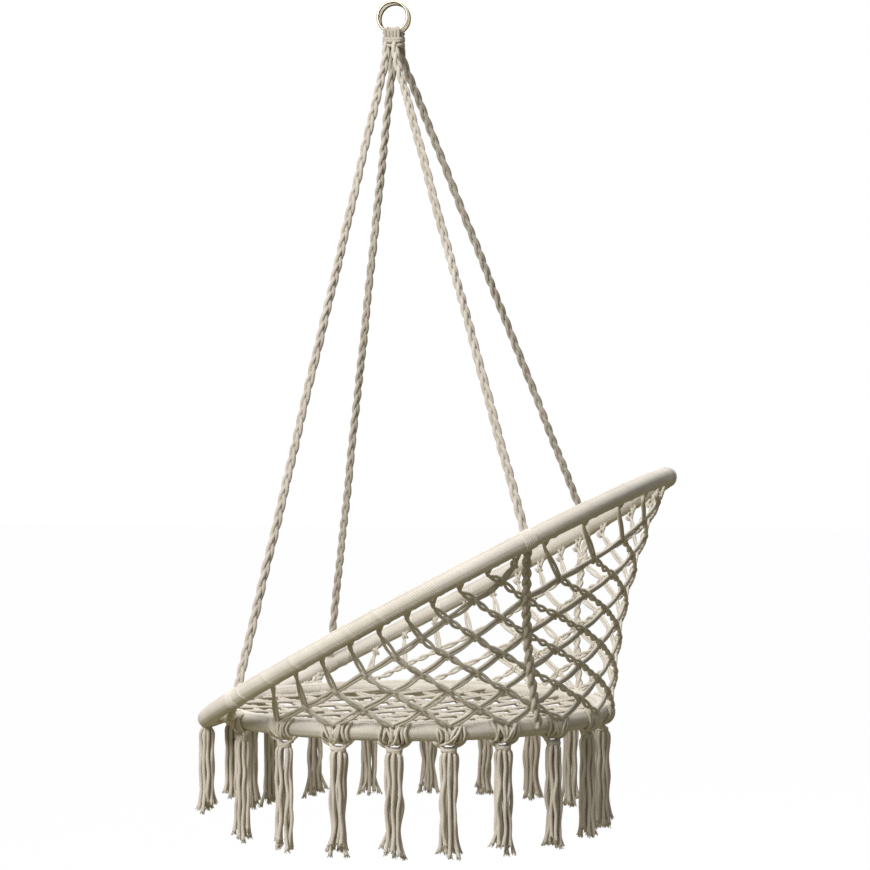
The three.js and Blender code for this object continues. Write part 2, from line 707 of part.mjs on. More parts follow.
function backNetPanel(panel) {
  const sheet = new NetSheet();
  const highest = Math.ceil((rimCentre.z + RIM_RADIUS) / ROW_HEIGHT);
  const knots = new Map();
  const rimKnots = new Map();
  const knotAt = (column, row) => knots.get(`${column}:${row}`);
  const rimKnotAt = (column) => {
    if (!rimKnots.has(column)) {
      const knot = rimKnot(sheet, column);
      sheet.faces.push([knot.left, knot.bottom, knot.right]);
      rimKnots.set(column, knot);
    }
    return rimKnots.get(column);
  };
  // A second bar from the same column to the rim gets a knot of its own, nearer to the column
  const tied = new Set();
  const rimKnotBeside = (column, side) => {
    const reachShare = tied.has(`${column}:${side}`) ? 1 / 4 : 1 / 2;
    tied.add(`${column}:${side}`);
    return rimKnotAt(column + side * reachShare);
  };
  for (let column = panel.from; column <= panel.to; column += 1) {
    for (let row = 0; row <= highest; row += 1) {
      if (hasKnot(column, row)) knots.set(`${column}:${row}`, backNetKnot(sheet, panel, column, row));
    }
  }
  knots.forEach(({ left, bottom, right, top, crown }) => {
    if (left !== null) sheet.faces.push([left, bottom, crown], [top, left, crown]);
    if (right !== null) sheet.faces.push([bottom, right, crown], [right, top, crown]);
  });
  for (let column = panel.from; column <= panel.to; column += 1) {
    for (let row = 0; row <= highest; row += 1) {
      const knot = knotAt(column, row);
      if (knot === undefined) continue;
      if (column < panel.to) {
        if (hasKnot(column + 1, row + 1)) sheet.barRight(knot, knotAt(column + 1, row + 1));
        else sheet.barRight(knot, rimKnotBeside(column, 1));
      }
      if (column > panel.from) {
        if (hasKnot(column - 1, row + 1)) sheet.barLeft(knot, knotAt(column - 1, row + 1));
        else sheet.barLeft(knot, rimKnotBeside(column, -1));
      }
    }
  }
  return named(panel.name, sheet.geometry(), shadedCord());
}

// Seat net: the knots next to the hoop are drawn out to its inner face
function seatNet() {
  const sheet = new NetSheet();
  const pitch = SEAT_MESH_DIAGONAL / 2;
  const widest = Math.max(...TASSEL_ANGLES.map((angle, k) => columnAngle(2 * k + 2) - columnAngle(2 * k)));
  const edge = (SEAT_RADIUS - WINDING_RADIUS) * cosine(widest / 4) - TOUCH_GAP;
  const edgeShare = 0.45;
  const count = Math.ceil(SEAT_RADIUS / pitch);
  const up = new THREE.Vector3(0, 0, 1);
  const knots = new Map();
  const place = (x, y) => {
    const share = (x * x + y * y) / (edge * edge);
    return new THREE.Vector3(x, y, -SEAT_SAG * (1 - share));
  };
  for (let p = -count; p <= count; p += 1) {
    for (let q = -count; q <= count; q += 1) {
      const reach = Math.hypot(p, q) * pitch;
      if ((p + q) % 2 !== 0 || reach > edge + edgeShare * pitch) continue;
      const isEdge = reach > edge - edgeShare * pitch;
      const drawn = isEdge ? (edge - SEAT_KNOT_HALF_WIDTH) / reach : 1;
      const [x, y] = [p * pitch * drawn, q * pitch * drawn];
      const at = (name, dx, dy) =>
        sheet.corner(`${p}:${q}${name}`, place(x + dx, y + dy), up, SEAT_NET_THICKNESS / 2);
      knots.set(`${p}:${q}`, {
        isEdge,
        left: at("left", -SEAT_KNOT_HALF_WIDTH, 0),
        bottom: at("bottom", 0, -SEAT_KNOT_HALF_WIDTH),
        right: at("right", SEAT_KNOT_HALF_WIDTH, 0),
        top: at("top", 0, SEAT_KNOT_HALF_WIDTH),
      });
    }
  }
  knots.forEach((knot, key) => {
    const [p, q] = key.split(":").map(Number);
    const { left, bottom, right, top } = knot;
    sheet.faces.push([left, bottom, right], [left, right, top]);
    const upRight = knots.get(`${p + 1}:${q + 1}`);
    const upLeft = knots.get(`${p - 1}:${q + 1}`);
    if (upRight && !(knot.isEdge && upRight.isEdge)) sheet.barRight(knot, upRight);
    if (upLeft && !(knot.isEdge && upLeft.isEdge)) sheet.barLeft(knot, upLeft);
  });
  return named("seat_net", sheet.geometry(), cottonCord());
}

// Tassels
function flutedSkirt(topHeight, length) {
  const shares = [
    { drop: 0, radius: TASSEL_NECK_DIAMETER / 2, flute: 0 },
    { drop: SWAG_DEPTH, radius: TASSEL_TOP_DIAMETER / 2, flute: TASSEL_FLUTE_DEPTH / 2 },
    { drop: length / 2, radius: TASSEL_TOP_DIAMETER / 2, flute: TASSEL_FLUTE_DEPTH },
    { drop: length, radius: TASSEL_END_DIAMETER / 2, flute: TASSEL_FLUTE_DEPTH },
  ];
  const sides = 2 * TASSEL_FLUTES;
  const points = shares.flatMap(({ drop, radius, flute }) =>
    Array.from({ length: sides }, (_, k) => {
      const angle = (360 * k) / sides;
      const reach = radius - (k % 2) * flute;
      return new THREE.Vector3(reach * cosine(angle), reach * sine(angle), topHeight - drop);
    }),
  );
  const faces = skinFaces(0, shares.length, sides, false);
  const last = (shares.length - 1) * sides;
  for (let k = 1; k < sides - 1; k += 1) {
    faces.push([0, k, k + 1], [last, last + k + 1, last + k]);
  }
  return geometryFromFaces(points, faces);
}

// Turns a flat outline, drawn along the hoop and upwards, to stand outwards from the hoop
function standing(shape, from, to) {
  const geometry = new THREE.ExtrudeGeometry(shape, { depth: to - from, bevelEnabled: false });
  geometry.translate(0, 0, from);
  geometry.rotateY(Math.PI / 2);
  geometry.rotateX(Math.PI / 2);
  return geometry;
}

function hoopKnotOutline() {
  const half = HOOP_KNOT_WIDTH / 2;
  const bottom = -WINDING_RADIUS - SWAG_CORD;
  const corner = HOOP_KNOT_WIDTH / 4;
  return new THREE.Shape([
    new THREE.Vector2(-half, bottom + corner),
    new THREE.Vector2(-half + corner, bottom),
    new THREE.Vector2(half - corner, bottom),
    new THREE.Vector2(half, bottom + corner),
    new THREE.Vector2(half, HOOP_KNOT_RISE - corner),
    new THREE.Vector2(half - corner, HOOP_KNOT_RISE),
    new THREE.Vector2(-half + corner, HOOP_KNOT_RISE),
    new THREE.Vector2(-half, HOOP_KNOT_RISE - corner),
  ]);
}

function swagOutline() {
  const half = SWAG_WIDTH / 2;
  const neck = TASSEL_NECK_DIAMETER / 2;
  const top = -WINDING_RADIUS / 2;
  const shoulder = -WINDING_RADIUS - SWAG_CORD / 2;
  const bottom = -WINDING_RADIUS - SWAG_DEPTH;
  return new THREE.Shape([
    new THREE.Vector2(-half, top),
    new THREE.Vector2(-half, shoulder),
    new THREE.Vector2(-neck, bottom),
    new THREE.Vector2(neck, bottom),
    new THREE.Vector2(half, shoulder),
    new THREE.Vector2(half, top),
  ]);
}

function swagWindow() {
  const half = SWAG_WIDTH / 2 - SWAG_CORD;
  const top = -WINDING_RADIUS - TOUCH_GAP;
  return new THREE.Path([
    new THREE.Vector2(-half, top),
    new THREE.Vector2(0, top - SWAG_DEPTH + SWAG_CORD),
    new THREE.Vector2(half, top),
  ]);
}

function tassel(angle, index) {
  const turned = ((angle + 180) % 360) - 180;
  const isFront = Math.abs(turned) < FRONT_TASSEL_ANGLE;
  const onRim = index + 1 === RIM_TASSEL;
  const inset = isFront && !onRim ? FRONT_TASSEL_INSET : 0;
  const along = rimTangent(RIM_TASSEL_ANGLE);
  const mesh = new THREE.Object3D();
  mesh.position.copy(onRim ? rimPoint(RIM_TASSEL_ANGLE) : seatPoint(angle, SEAT_RADIUS, 0));
  mesh.rotation.z = Math.PI + (onRim ? Math.atan2(along.x, -along.y) : THREE.MathUtils.degToRad(angle));
  mesh.updateMatrix();
  const toLocal = mesh.matrix.clone().invert();

  const topHeight = onRim ? -WINDING_RADIUS / 2 : -WINDING_RADIUS - SWAG_DEPTH + SWAG_CORD / 2;
  const swagLength = SHORT_TASSELS.includes(index + 1) ? SHORT_TASSEL_LENGTH : TASSEL_LENGTH;
  const skirt = flutedSkirt(topHeight, onRim ? RIM_TASSEL_LENGTH : swagLength);
  skirt.translate(-inset, 0, 0);
  let solid = solidOf(skirt);
  if (!onRim) {
    const swag = swagOutline();
    swag.holes.push(swagWindow());
    const plate = standing(swag, -inset - SWAG_CORD / 2, -inset + SWAG_CORD / 2);
    solid = solid.add(solidOf(plate));
  }
  if (!isFront) {
    const outerFace = WINDING_RADIUS + HOOP_KNOT_STAND;
    const knot = standing(hoopKnotOutline(), SWAG_CORD / 2 - HOOP_KNOT_STAND, outerFace);
    solid = solid.add(solidOf(knot));
  }
  const columns = [-2, -1, 0, 1, 2].map((step) => columnAngle(2 * index + step));
  const hoop = tubeEnvelope(SEAT_RADIUS, columns, WINDING_RADIUS + TOUCH_GAP, WINDING_SIDES);
  solid = solid.subtract(solidOf(hoop.applyMatrix4(toLocal)));
  if (isFront) {
    solid = solid.subtract(solidOf(rimEnvelope().applyMatrix4(toLocal)));
  }
  const piece = named(`tassel_${String(index + 1).padStart(2, "0")}`, geometryOf(solid), cottonCord());
  piece.position.copy(mesh.position);
  piece.rotation.copy(mesh.rotation);
  return piece;
}

// The whole chair: rings and gathers at the hook point, all else hung from them
function hammockChair() {
  const chair = new THREE.Group();
  const sides = [
    { name: "near", sign: -1 },
    { name: "far", sign: 1 },
  ];
  sides.forEach((side) => chair.add(hangingRing(side), ringLoop(side), gather(side)));

  const hung = new THREE.Group();
  hung.position.set(SEAT_SETBACK, 0, -SEAT_DROP);
  hung.add(rimGroup(), seatHoopGroup(), seatNet());
  STAYS.forEach((stay, k) => {
    hung.add(rope(stay, hitchAngles[k]), knottedStay(stay, stayAngles[k], hitchAngles[k]));
  });
  NET_PANELS.forEach((panel) => hung.add(backNetPanel(panel)));
  TASSEL_ANGLES.forEach((angle, index) => hung.add(tassel(angle, index)));
  chair.add(hung);
  return chair;
}

export default hammockChair();
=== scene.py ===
"""Hammock chair: the cords, knots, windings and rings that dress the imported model.

All lengths are metres in the part's own frame: the origin is the hook point, +Z is up, -X is the
low front of the seat and -Y its near side. Angles round a hoop are degrees from its front and grow
towards the near side.
"""

import logging
import math
import random
from dataclasses import dataclass, field
from enum import Enum

import bpy
import numpy as np
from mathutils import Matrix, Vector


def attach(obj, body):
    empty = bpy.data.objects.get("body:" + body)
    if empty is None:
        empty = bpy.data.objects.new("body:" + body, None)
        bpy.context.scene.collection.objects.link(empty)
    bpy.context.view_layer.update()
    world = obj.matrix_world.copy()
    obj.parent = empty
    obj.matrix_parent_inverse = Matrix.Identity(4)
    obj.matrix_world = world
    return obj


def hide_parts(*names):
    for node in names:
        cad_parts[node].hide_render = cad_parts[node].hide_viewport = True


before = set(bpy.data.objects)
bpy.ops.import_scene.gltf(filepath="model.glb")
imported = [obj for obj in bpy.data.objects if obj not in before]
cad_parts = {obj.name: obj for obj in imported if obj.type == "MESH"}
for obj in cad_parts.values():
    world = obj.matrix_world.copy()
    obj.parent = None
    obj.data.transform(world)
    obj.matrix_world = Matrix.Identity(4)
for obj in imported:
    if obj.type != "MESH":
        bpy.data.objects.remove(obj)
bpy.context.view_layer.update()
log = logging.getLogger("hammock_chair")

Path = np.ndarray
Colour = tuple[float, float, float, float]
Sockets = bpy.types.bpy_prop_collection
Value = float | bpy.types.NodeSocket

TASSEL_ANGLES = (6, 24, 43, 63, 81, 97, 112, 128, 146, 164, 182, 202, 222, 240, 258, 277, 297, 316, 337, 348.5)
RIM_ANGLE_PAIRS = (
    (0, 0), (43, 47.8), (63, 66), (81, 79.8), (97, 93.3),
    (112, 104.6), (128, 117.2), (137, 122.8), (146, 133), (180, 180),
    (214, 227), (222, 237.7), (232, 243.6), (248, 255.4), (263, 266.7),
    (279, 280.2), (297, 295), (316, 315), (360, 360),
)
ROPE_COLUMNS = {"near_front": 4, "near_back": 15, "far_back": 24, "far_front": 34}
NET_PANELS = (
    ("near_front", 4, 8), ("near_middle", 8, 12), ("near_back", 12, 15), ("back_near", 15, 20),
    ("back_far", 20, 24), ("far_back", 24, 28), ("far_middle", 28, 31), ("far_front", 31, 34),
)


class Body(Enum):
    """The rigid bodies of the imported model."""

    RINGS = "rings"
    LOOPS = "cord_loops"
    CHAIR = "chair"


class Slot(Enum):
    """The record's material slots."""

    CORD = "cotton_cord"
    NET = "net_cord"
    STEEL = "ring_steel"


class Lay(Enum):
    """How a cord's fibres slope round it: as many turns per metre as its value."""

    NONE = 0.0
    SOFT = 60.0
    HARD = 110.0


# -------- places on the chair


@dataclass(frozen=True)
class Hoop:
    """A hoop of tube, by its centreline radius, centre and tilt up towards the back."""

    radius: float
    centre: tuple[float, float, float]
    tilt: float = 0.0

    def turned(self, local: Path) -> Path:
        """Points of the hoop's own plane, in the part's frame.

        Args:
            local: the points as if the hoop lay level.

        Returns:
            The points, tilted.
        """
        c, s = math.cos(math.radians(self.tilt)), math.sin(math.radians(self.tilt))
        x, y, z = local[..., 0], local[..., 1], local[..., 2]
        return np.stack([x * c - z * s, y, x * s + z * c], -1)

    def point(self, angle: float | Path, reach: float | Path = 0.0, around: float | Path = 0.0) -> Path:
        """A place on or off the tube's centreline.

        Args:
            angle: degrees round the hoop from its front.
            reach: distance from the tube's centreline.
            around: degrees round the tube, 0 outwards and 90 up.

        Returns:
            The place or places, in the part's frame.
        """
        a, t = np.radians(angle), np.radians(around)
        out = self.radius + reach * np.cos(t)
        local = np.stack(np.broadcast_arrays(-out * np.cos(a), -out * np.sin(a), reach * np.sin(t)), -1)
        return self.turned(local) + np.array(self.centre)

    def tangent(self, angle: float) -> Path:
        """The unit direction of growing angle."""
        a = math.radians(angle)
        return self.turned(np.array([math.sin(a), -math.cos(a), 0.0]))

    def outward(self, angle: float) -> Path:
        """The unit direction away from the hoop's centre."""
        a = math.radians(angle)
        return self.turned(np.array([-math.cos(a), -math.sin(a), 0.0]))


@dataclass(frozen=True)
class Layout:
    """The sizes that every sub-assembly shares."""

    gap: float = 0.0003
    winding_radius: float = 0.013
    ring_spacing: float = 0.017
    seat_centre: tuple[float, float, float] = (0.030, 0.0, -1.061)
    seat_radius: float = 0.282
    rim_radius: float = 0.387
    rim_tilt: float = 28.2
    tip_dip: float = 43.5
    first_row: float = 0.009
    row_height: float = 0.025
    last_row_below_rim: float = 0.036
    net_foot_radius: float = 0.2983
    stay_foot_radius: float = 0.3033
    bow: float = 0.017

    @property
    def seat(self) -> Hoop:
        """The level seat hoop."""
        return Hoop(self.seat_radius, self.seat_centre)

    @property
    def rim(self) -> Hoop:
        """The rim hoop, which touches the seat hoop at the front tip."""
        apart = 2 * (self.winding_radius + self.gap)
        dip, tilt = math.radians(self.tip_dip), math.radians(self.rim_tilt)
        tip_x = self.seat_centre[0] - self.seat_radius - apart * math.cos(dip)
        tip_z = self.seat_centre[2] - apart * math.sin(dip)
        centre = (tip_x + self.rim_radius * math.cos(tilt), 0.0, tip_z + self.rim_radius * math.sin(tilt))
        return Hoop(self.rim_radius, centre, self.rim_tilt)

    def column_angle(self, column: float) -> float:
        """The seat hoop's angle at a column of the net.

        Args:
            column: its number; the even ones stand over the tassels.

        Returns:
            Degrees from the front.
        """
        count, place = len(TASSEL_ANGLES), column / 2
        index = math.floor(place)
        low, high = (TASSEL_ANGLES[k % count] + 360 * (k // count) for k in (index, index + 1))
        return low + (high - low) * (place - index)

    def rim_angle(self, column: float) -> float:
        """The rim's angle where a column of the net ends."""
        seat, rim = zip(*RIM_ANGLE_PAIRS)
        return float(np.interp(self.column_angle(column), seat, rim))

    def column_ends(self, column: float) -> tuple[Path, Path]:
        """The foot of a column of the net and its head on the rim's centreline."""
        foot = self.seat.point(self.column_angle(column), self.net_foot_radius - self.seat_radius)
        return foot + np.array([0, 0, self.first_row]), self.rim.point(self.rim_angle(column))

    def drawn_in(self, angle: float, share: float | Path) -> Path:
        """How far the net's tension draws it in at an angle, at a share of its height."""
        amount = self.bow * max(0.0, -math.cos(math.radians(angle))) * np.sin(math.pi * np.clip(share, 0, 1))
        return -np.multiply.outer(amount, self.seat.outward(angle))

    def at_height(self, column: float, height: float) -> Path:
        """The place on a column at a height.

        Args:
            column: the column.
            height: metres above the seat hoop.

        Returns:
            The place.
        """
        foot, head = self.column_ends(column)
        share = (self.seat_centre[2] + height - foot[2]) / (head[2] - foot[2])
        return foot + (head - foot) * share + self.drawn_in(self.column_angle(column), share)

    def knot_height(self, row: int) -> float:
        """A row's height above the seat hoop."""
        return self.first_row + row * self.row_height

    def has_knot(self, column: int, row: int) -> bool:
        """Whether the net has a knot there."""
        head = self.column_ends(column)[1][2] - self.seat_centre[2]
        return row >= 0 and (column + row) % 2 == 0 and head - self.knot_height(row) >= self.last_row_below_rim


LAYOUT = Layout()


def unit(vector: Path) -> Path:
    """The vector at length one."""
    return vector / max(float(np.linalg.norm(vector)), 1e-12)


def units(vectors: Path) -> Path:
    """Each vector at length one."""
    return vectors / np.maximum(np.linalg.norm(vectors, axis=1, keepdims=True), 1e-12)


def upright(height: float) -> Path:
    """A step straight up."""
    return np.array([0, 0, height])


def curve_through(points: list[Path] | Path, steps: int) -> Path:
    """A smooth path through points.

    Args:
        points: the places it passes through.
        steps: the number of steps between each two.

    Returns:
        The path's points.
    """
    p = np.asarray(points, float)
    p = np.vstack([2 * p[0] - p[1], p, 2 * p[-1] - p[-2]])
    t = np.linspace(0, 1, steps, endpoint=False)[:, None]
    spans = [
        0.5 * (2 * b + (c - a) * t + (2 * a - 5 * b + 4 * c - d) * t**2 + (3 * b - a - 3 * c + d) * t**3)
        for a, b, c, d in zip(p[:-3], p[1:-2], p[2:-1], p[3:])
    ]
    return np.vstack([*spans, p[-2][None]])


def along_of(path: Path) -> Path:
    """The distance along a path at each of its points."""
    return np.concatenate([[0], np.cumsum(np.linalg.norm(np.diff(path, axis=0), axis=1))])


def evenly(path: Path, spacing: float) -> Path:
    """The same path with its points spread out evenly.

    Args:
        path: its points.
        spacing: the distance wanted between two.

    Returns:
        The new points.
    """
    run = along_of(path)
    at = np.linspace(0, run[-1], max(2, round(run[-1] / spacing)) + 1)
    return np.stack([np.interp(at, run, path[:, k]) for k in range(3)], -1)


def frames_of(path: Path, hint: Path | None = None) -> tuple[Path, Path]:
    """Directions across a path that turn with it and don't twist round it.

    Args:
        path: the points.
        hint: a direction that the first normal leans towards.

    Returns:
        The normals and binormals.
    """
    tangents = units(np.gradient(path, axis=0))
    first = tangents[0]
    if hint is None:
        hint = np.array([0, 0, 1.0]) if abs(first[2]) < 0.9 else np.array([1.0, 0, 0])
    normals = [unit(hint - first * (hint @ first))]
    for tangent in tangents[1:]:
        normals.append(unit(normals[-1] - tangent * (normals[-1] @ tangent)))
    return np.array(normals), np.cross(tangents, normals)


def wandering(path: Path, reach: float, dice: random.Random, wave: float = 0.06) -> Path:
    """The path with slow small bends, as a soft cord has.

    Args:
        path: the centreline.
        reach: the most that it strays.
        dice: the seeded source of the bends.
        wave: the length of a bend.

    Returns:
        The bent path, with its ends in place.
    """
    run = along_of(path)
    share = run / run[-1]
    ends = np.clip(4 * share * (1 - share), 0, 1)
    bent = path.copy()
    for axis in range(3):
        phase, speed = dice.uniform(0, math.tau), dice.uniform(0.7, 1.3)
        bent[:, axis] += reach * ends * np.sin(math.tau * run * speed / wave + phase) * 0.6
    return bent


# -------- finishes


def srgb(red: int, green: int, blue: int) -> Colour:
    """A colour as it is seen, as the shader's linear values.

    Args:
        red: its red, from 0 to 255.
        green: its green.
        blue: its blue.

    Returns:
        The colour, with full alpha.
    """
    values = (red / 255, green / 255, blue / 255)
    return (*(v / 12.92 if v <= 0.04045 else ((v + 0.055) / 1.055) ** 2.4 for v in values), 1.0)


@dataclass
class NodeDesk:
    """Adds and joins nodes in one tree."""

    tree: bpy.types.NodeTree

    def fill(self, node: bpy.types.Node, values: dict) -> bpy.types.Node:
        """Sets a node up.

        Args:
            node: the node.
            values: the value of each setting and socket, or the other node's socket that feeds it.

        Returns:
            The same node.
        """
        for key, value in values.items():
            if isinstance(value, bpy.types.NodeSocket):
                self.tree.links.new(value, node.inputs[key])
            elif isinstance(key, int) or key in node.inputs:
                node.inputs[key].default_value = value
            else:
                setattr(node, key, value)
        return node

    def add(self, kind: str, values: dict) -> Sockets:
        """The outputs of a new node, of a kind named without ShaderNode."""
        return self.fill(self.tree.nodes.new(f"ShaderNode{kind}"), values).outputs

    def maths(self, operation: str, first: Value, second: Value = 0.5) -> bpy.types.NodeSocket:
        """The result of a Math node on sockets or numbers."""
        return self.add("Math", {"operation": operation, 0: first, 1: second})[0]

    def mix(self, factor: Value, first: Value | Colour, second: Value | Colour) -> bpy.types.NodeSocket:
        """A colour between two, each a socket or a colour."""
        return self.add("Mix", {"data_type": "RGBA", 0: factor, 6: first, 7: second})[2]


def new_group(name: str, inputs: dict[str, str], outputs: dict[str, str]) -> tuple[NodeDesk, Sockets]:
    """A shader node group with named sockets.

    Args:
        name: the group's name.
        inputs: socket name to kind, such as Float or Color.
        outputs: the same for what it gives, at the node named out.

    Returns:
        The desk for its nodes, and the sockets that bring its inputs.
    """
    group = bpy.data.node_groups.new(name, "ShaderNodeTree")
    for direction, sockets in (("INPUT", inputs), ("OUTPUT", outputs)):
        for socket, kind in sockets.items():
            group.interface.new_socket(socket, in_out=direction, socket_type=f"NodeSocket{kind}")
    group.nodes.new("NodeGroupOutput").name = "out"
    return NodeDesk(group), group.nodes.new("NodeGroupInput").outputs


def build_fibre_group() -> None:
    """Fibres that slope round a cord: their height, and painted shade in the grooves between them."""
    stretch, strand_share, noise_share, sharpness = 90.0, 0.55, 0.6, 3.0
    sockets = {"Turns": "Float", "Fineness": "Float"}
    desk, given = new_group("twisted_fibre_and_groove_shade", sockets, {"Height": "Float", "Line": "Float"})
    split = desk.add("SeparateXYZ", {"Vector": desk.add("UVMap", {"uv_map": "cord"})[0]})
    phase = desk.maths("ADD", split[0], desk.maths("MULTIPLY", split[1], given["Turns"]))
    wrapped = desk.maths("MULTIPLY", desk.maths("FRACT", phase), given["Fineness"])
    place = desk.add("CombineXYZ", {"X": wrapped, "Y": desk.maths("MULTIPLY", split[1], stretch)})[0]
    noise = desk.add("TexNoise", {"Scale": 1.0, "Detail": 3.0, "Roughness": 0.6, "Vector": place})[0]
    strands = desk.maths("ABSOLUTE", desk.maths("SINE", desk.maths("MULTIPLY", wrapped, math.pi)))
    rough = desk.maths("MULTIPLY", noise, noise_share)
    height = desk.maths("ADD", desk.maths("MULTIPLY", strands, strand_share), rough)
    # Painted shade in the grooves between fibres, darkest where the fibres' height is lowest.
    line = desk.maths("POWER", desk.maths("SUBTRACT", 1.0, strands), sharpness)
    desk.fill(desk.tree.nodes["out"], {"Height": height, "Line": line})


def build_cotton_group() -> None:
    """Undyed cotton's colour in random patches along the cord, with painted shade mixed in where cords face their
    neighbours and in the grooves between fibres.
    """
    broad_share, fine_share, level, groove_shade_share = 0.5, 0.25, 0.29, 0.28
    sockets = {"Light": "Color", "Shade": "Color", "Line": "Float", "Depth": "Float"}
    desk, given = new_group("cotton_tone_and_shade", sockets, {"Color": "Color"})
    place = desk.add("TexCoord", {})["Object"]
    broad = desk.add("TexNoise", {"Scale": 16.0, "Detail": 2.0, "Vector": place})[0]
    fine = desk.add("TexNoise", {"Scale": 420.0, "Detail": 2.0, "Vector": place})[0]
    painted_shade = desk.add("Attribute", {"attribute_name": "painted_shade"})["Fac"]
    patch = desk.maths("ADD", desk.maths("MULTIPLY", broad, broad_share), desk.maths("MULTIPLY", fine, fine_share))
    # Painted shade where cords face their neighbours and in the grooves between fibres; the patches above are the
    # cotton's own uneven tone.
    painted_shade_amount = desk.maths("MULTIPLY", painted_shade, given["Depth"])
    groove_shade = desk.maths("MULTIPLY", given["Line"], groove_shade_share)
    amount = desk.maths("ADD", desk.maths("SUBTRACT", patch, level), desk.maths("ADD", painted_shade_amount, groove_shade))
    factor = desk.add("Clamp", {"Value": amount})[0]
    desk.fill(desk.tree.nodes["out"], {"Color": desk.mix(factor, given["Light"], given["Shade"])})


@dataclass(frozen=True)
class Finish:
    """A surface, kept as one material."""

    name: str

    def dress(self, desk: NodeDesk, shader: bpy.types.Node) -> None:
        """Joins the finish to its shader, as each kind of finish does in its own way."""
        raise NotImplementedError

    def material(self) -> bpy.types.Material:
        """The finish as a material.

        Returns:
            The material, made on first use.
        """
        material = bpy.data.materials.get(self.name)
        if not material:
            material = bpy.data.materials.new(self.name)
            material.use_nodes = True
            self.dress(NodeDesk(material.node_tree), material.node_tree.nodes["Principled BSDF"])
        return material


@dataclass(frozen=True)
class CottonFinish(Finish):
    """Twisted cotton cord."""

    light: Colour
    # The cord's colour in shadow: the dark end of its random patches, and the colour of its painted shade.
    shade: Colour
    lay: Lay
    fineness: float
    # How strongly the painted shade where cords face their neighbours darkens the cord.
    depth: float
    bump: float

    def dress(self, desk: NodeDesk, shader: bpy.types.Node) -> None:
        """Joins the fibres, and the tone with its painted shade, to the shader.

        Args:
            desk: the material's nodes.
            shader: its Principled shader.
        """
        groups = bpy.data.node_groups
        turns = {"Turns": self.lay.value, "Fineness": self.fineness}
        fibre = desk.add("Group", {"node_tree": groups["twisted_fibre_and_groove_shade"], **turns})
        tones = {"Light": self.light, "Shade": self.shade, "Depth": self.depth, "Line": fibre["Line"]}
        tone = desk.add("Group", {"node_tree": groups["cotton_tone_and_shade"], **tones})
        bump = desk.add("Bump", {"Strength": self.bump, "Distance": 0.0004, "Height": fibre["Height"]})
        desk.fill(shader, {
            "Base Color": tone[0], "Roughness": 0.95, "Specular IOR Level": 0.15,
            "Sheen Weight": 0.12, "Sheen Roughness": 0.6, "Normal": bump[0],
        })


@dataclass(frozen=True)
class MetalFinish(Finish):
    """Plated or plain steel, smeared, with painted shade on the inside of a ring."""

    colour: Colour
    # The colour of the smears, and of the painted shade inside a ring.
    dull_and_shade: Colour
    roughness: float
    smear: float
    painted_shade_radius: float = 0.0
    painted_shade_height: float = 0.0
    painted_shade_steepness: float = 700.0

    def dress(self, desk: NodeDesk, shader: bpy.types.Node) -> None:
        """Joins the smears and the painted shade on the ring's inside to the shader.

        Args:
            desk: the material's nodes.
            shader: its Principled shader.
        """
        place = desk.add("TexCoord", {})["Object"]
        smear = desk.add("TexNoise", {"Scale": 60.0, "Detail": 1.0, "Vector": place})[0]
        worn_and_shaded = desk.maths("MULTIPLY", smear, 0.5)
        # Painted shade on the inside of a ring: darker within the given radius of its middle.
        if self.painted_shade_radius:
            split = desk.add("SeparateXYZ", {"Vector": place})
            level = desk.maths("SUBTRACT", split[2], self.painted_shade_height)
            square = desk.maths(
                "ADD", desk.maths("MULTIPLY", split[0], split[0]), desk.maths("MULTIPLY", level, level),
            )
            inside = desk.maths("SUBTRACT", self.painted_shade_radius, desk.maths("SQRT", square))
            worn_and_shaded = desk.maths("ADD", worn_and_shaded, desk.maths("MULTIPLY", inside, self.painted_shade_steepness))
        factor = desk.add("Clamp", {"Value": worn_and_shaded})[0]
        rough = desk.maths("ADD", desk.maths("MULTIPLY", smear, self.smear), self.roughness)
        tone = desk.mix(factor, self.colour, self.dull_and_shade)
        desk.fill(shader, {"Base Color": tone, "Roughness": rough, "Metallic": 1.0})


# Each cotton's first colour is its own; the second is its colour in shadow, the dark end of its random patches and
# the colour of its painted shade.
ROPE_COTTON = CottonFinish("rope_cotton", srgb(214, 208, 197), srgb(120, 110, 90), Lay.HARD, 3.0, 0.34, 0.3)
LOOP_COTTON = CottonFinish("loop_cotton", srgb(202, 195, 182), srgb(116, 106, 86), Lay.SOFT, 3.0, 0.4, 0.3)
WINDING_COTTON = CottonFinish("winding_cotton", srgb(236, 231, 222), srgb(146, 135, 110), Lay.NONE, 5.0, 0.28, 0.2)
NET_COTTON = CottonFinish("net_cotton", srgb(228, 222, 210), srgb(120, 109, 84), Lay.SOFT, 3.0, 0.42, 0.4)
SEAT_COTTON = CottonFinish("seat_cotton", srgb(219, 212, 201), srgb(132, 122, 102), Lay.SOFT, 3.0, 0.5, 0.5)
TASSEL_COTTON = CottonFinish("tassel_cotton", srgb(230, 223, 211), srgb(124, 114, 96), Lay.SOFT, 3.0, 0.5, 0.45)
RING_NICKEL = MetalFinish("ring_nickel", srgb(164, 155, 136), srgb(66, 56, 40), 0.30, 0.04, 0.0220, -0.0206)
# The far ring: the same plated steel as the near ring, darkened as painted shade.
RING_SHADED = MetalFinish("ring_shaded", srgb(112, 103, 84), srgb(50, 43, 32), 0.34, 0.08, 0.0222, -0.0206)
TUBE_STEEL = MetalFinish("tube_steel", srgb(150, 152, 156), srgb(112, 112, 112), 0.42, 0.2)


# -------- cords


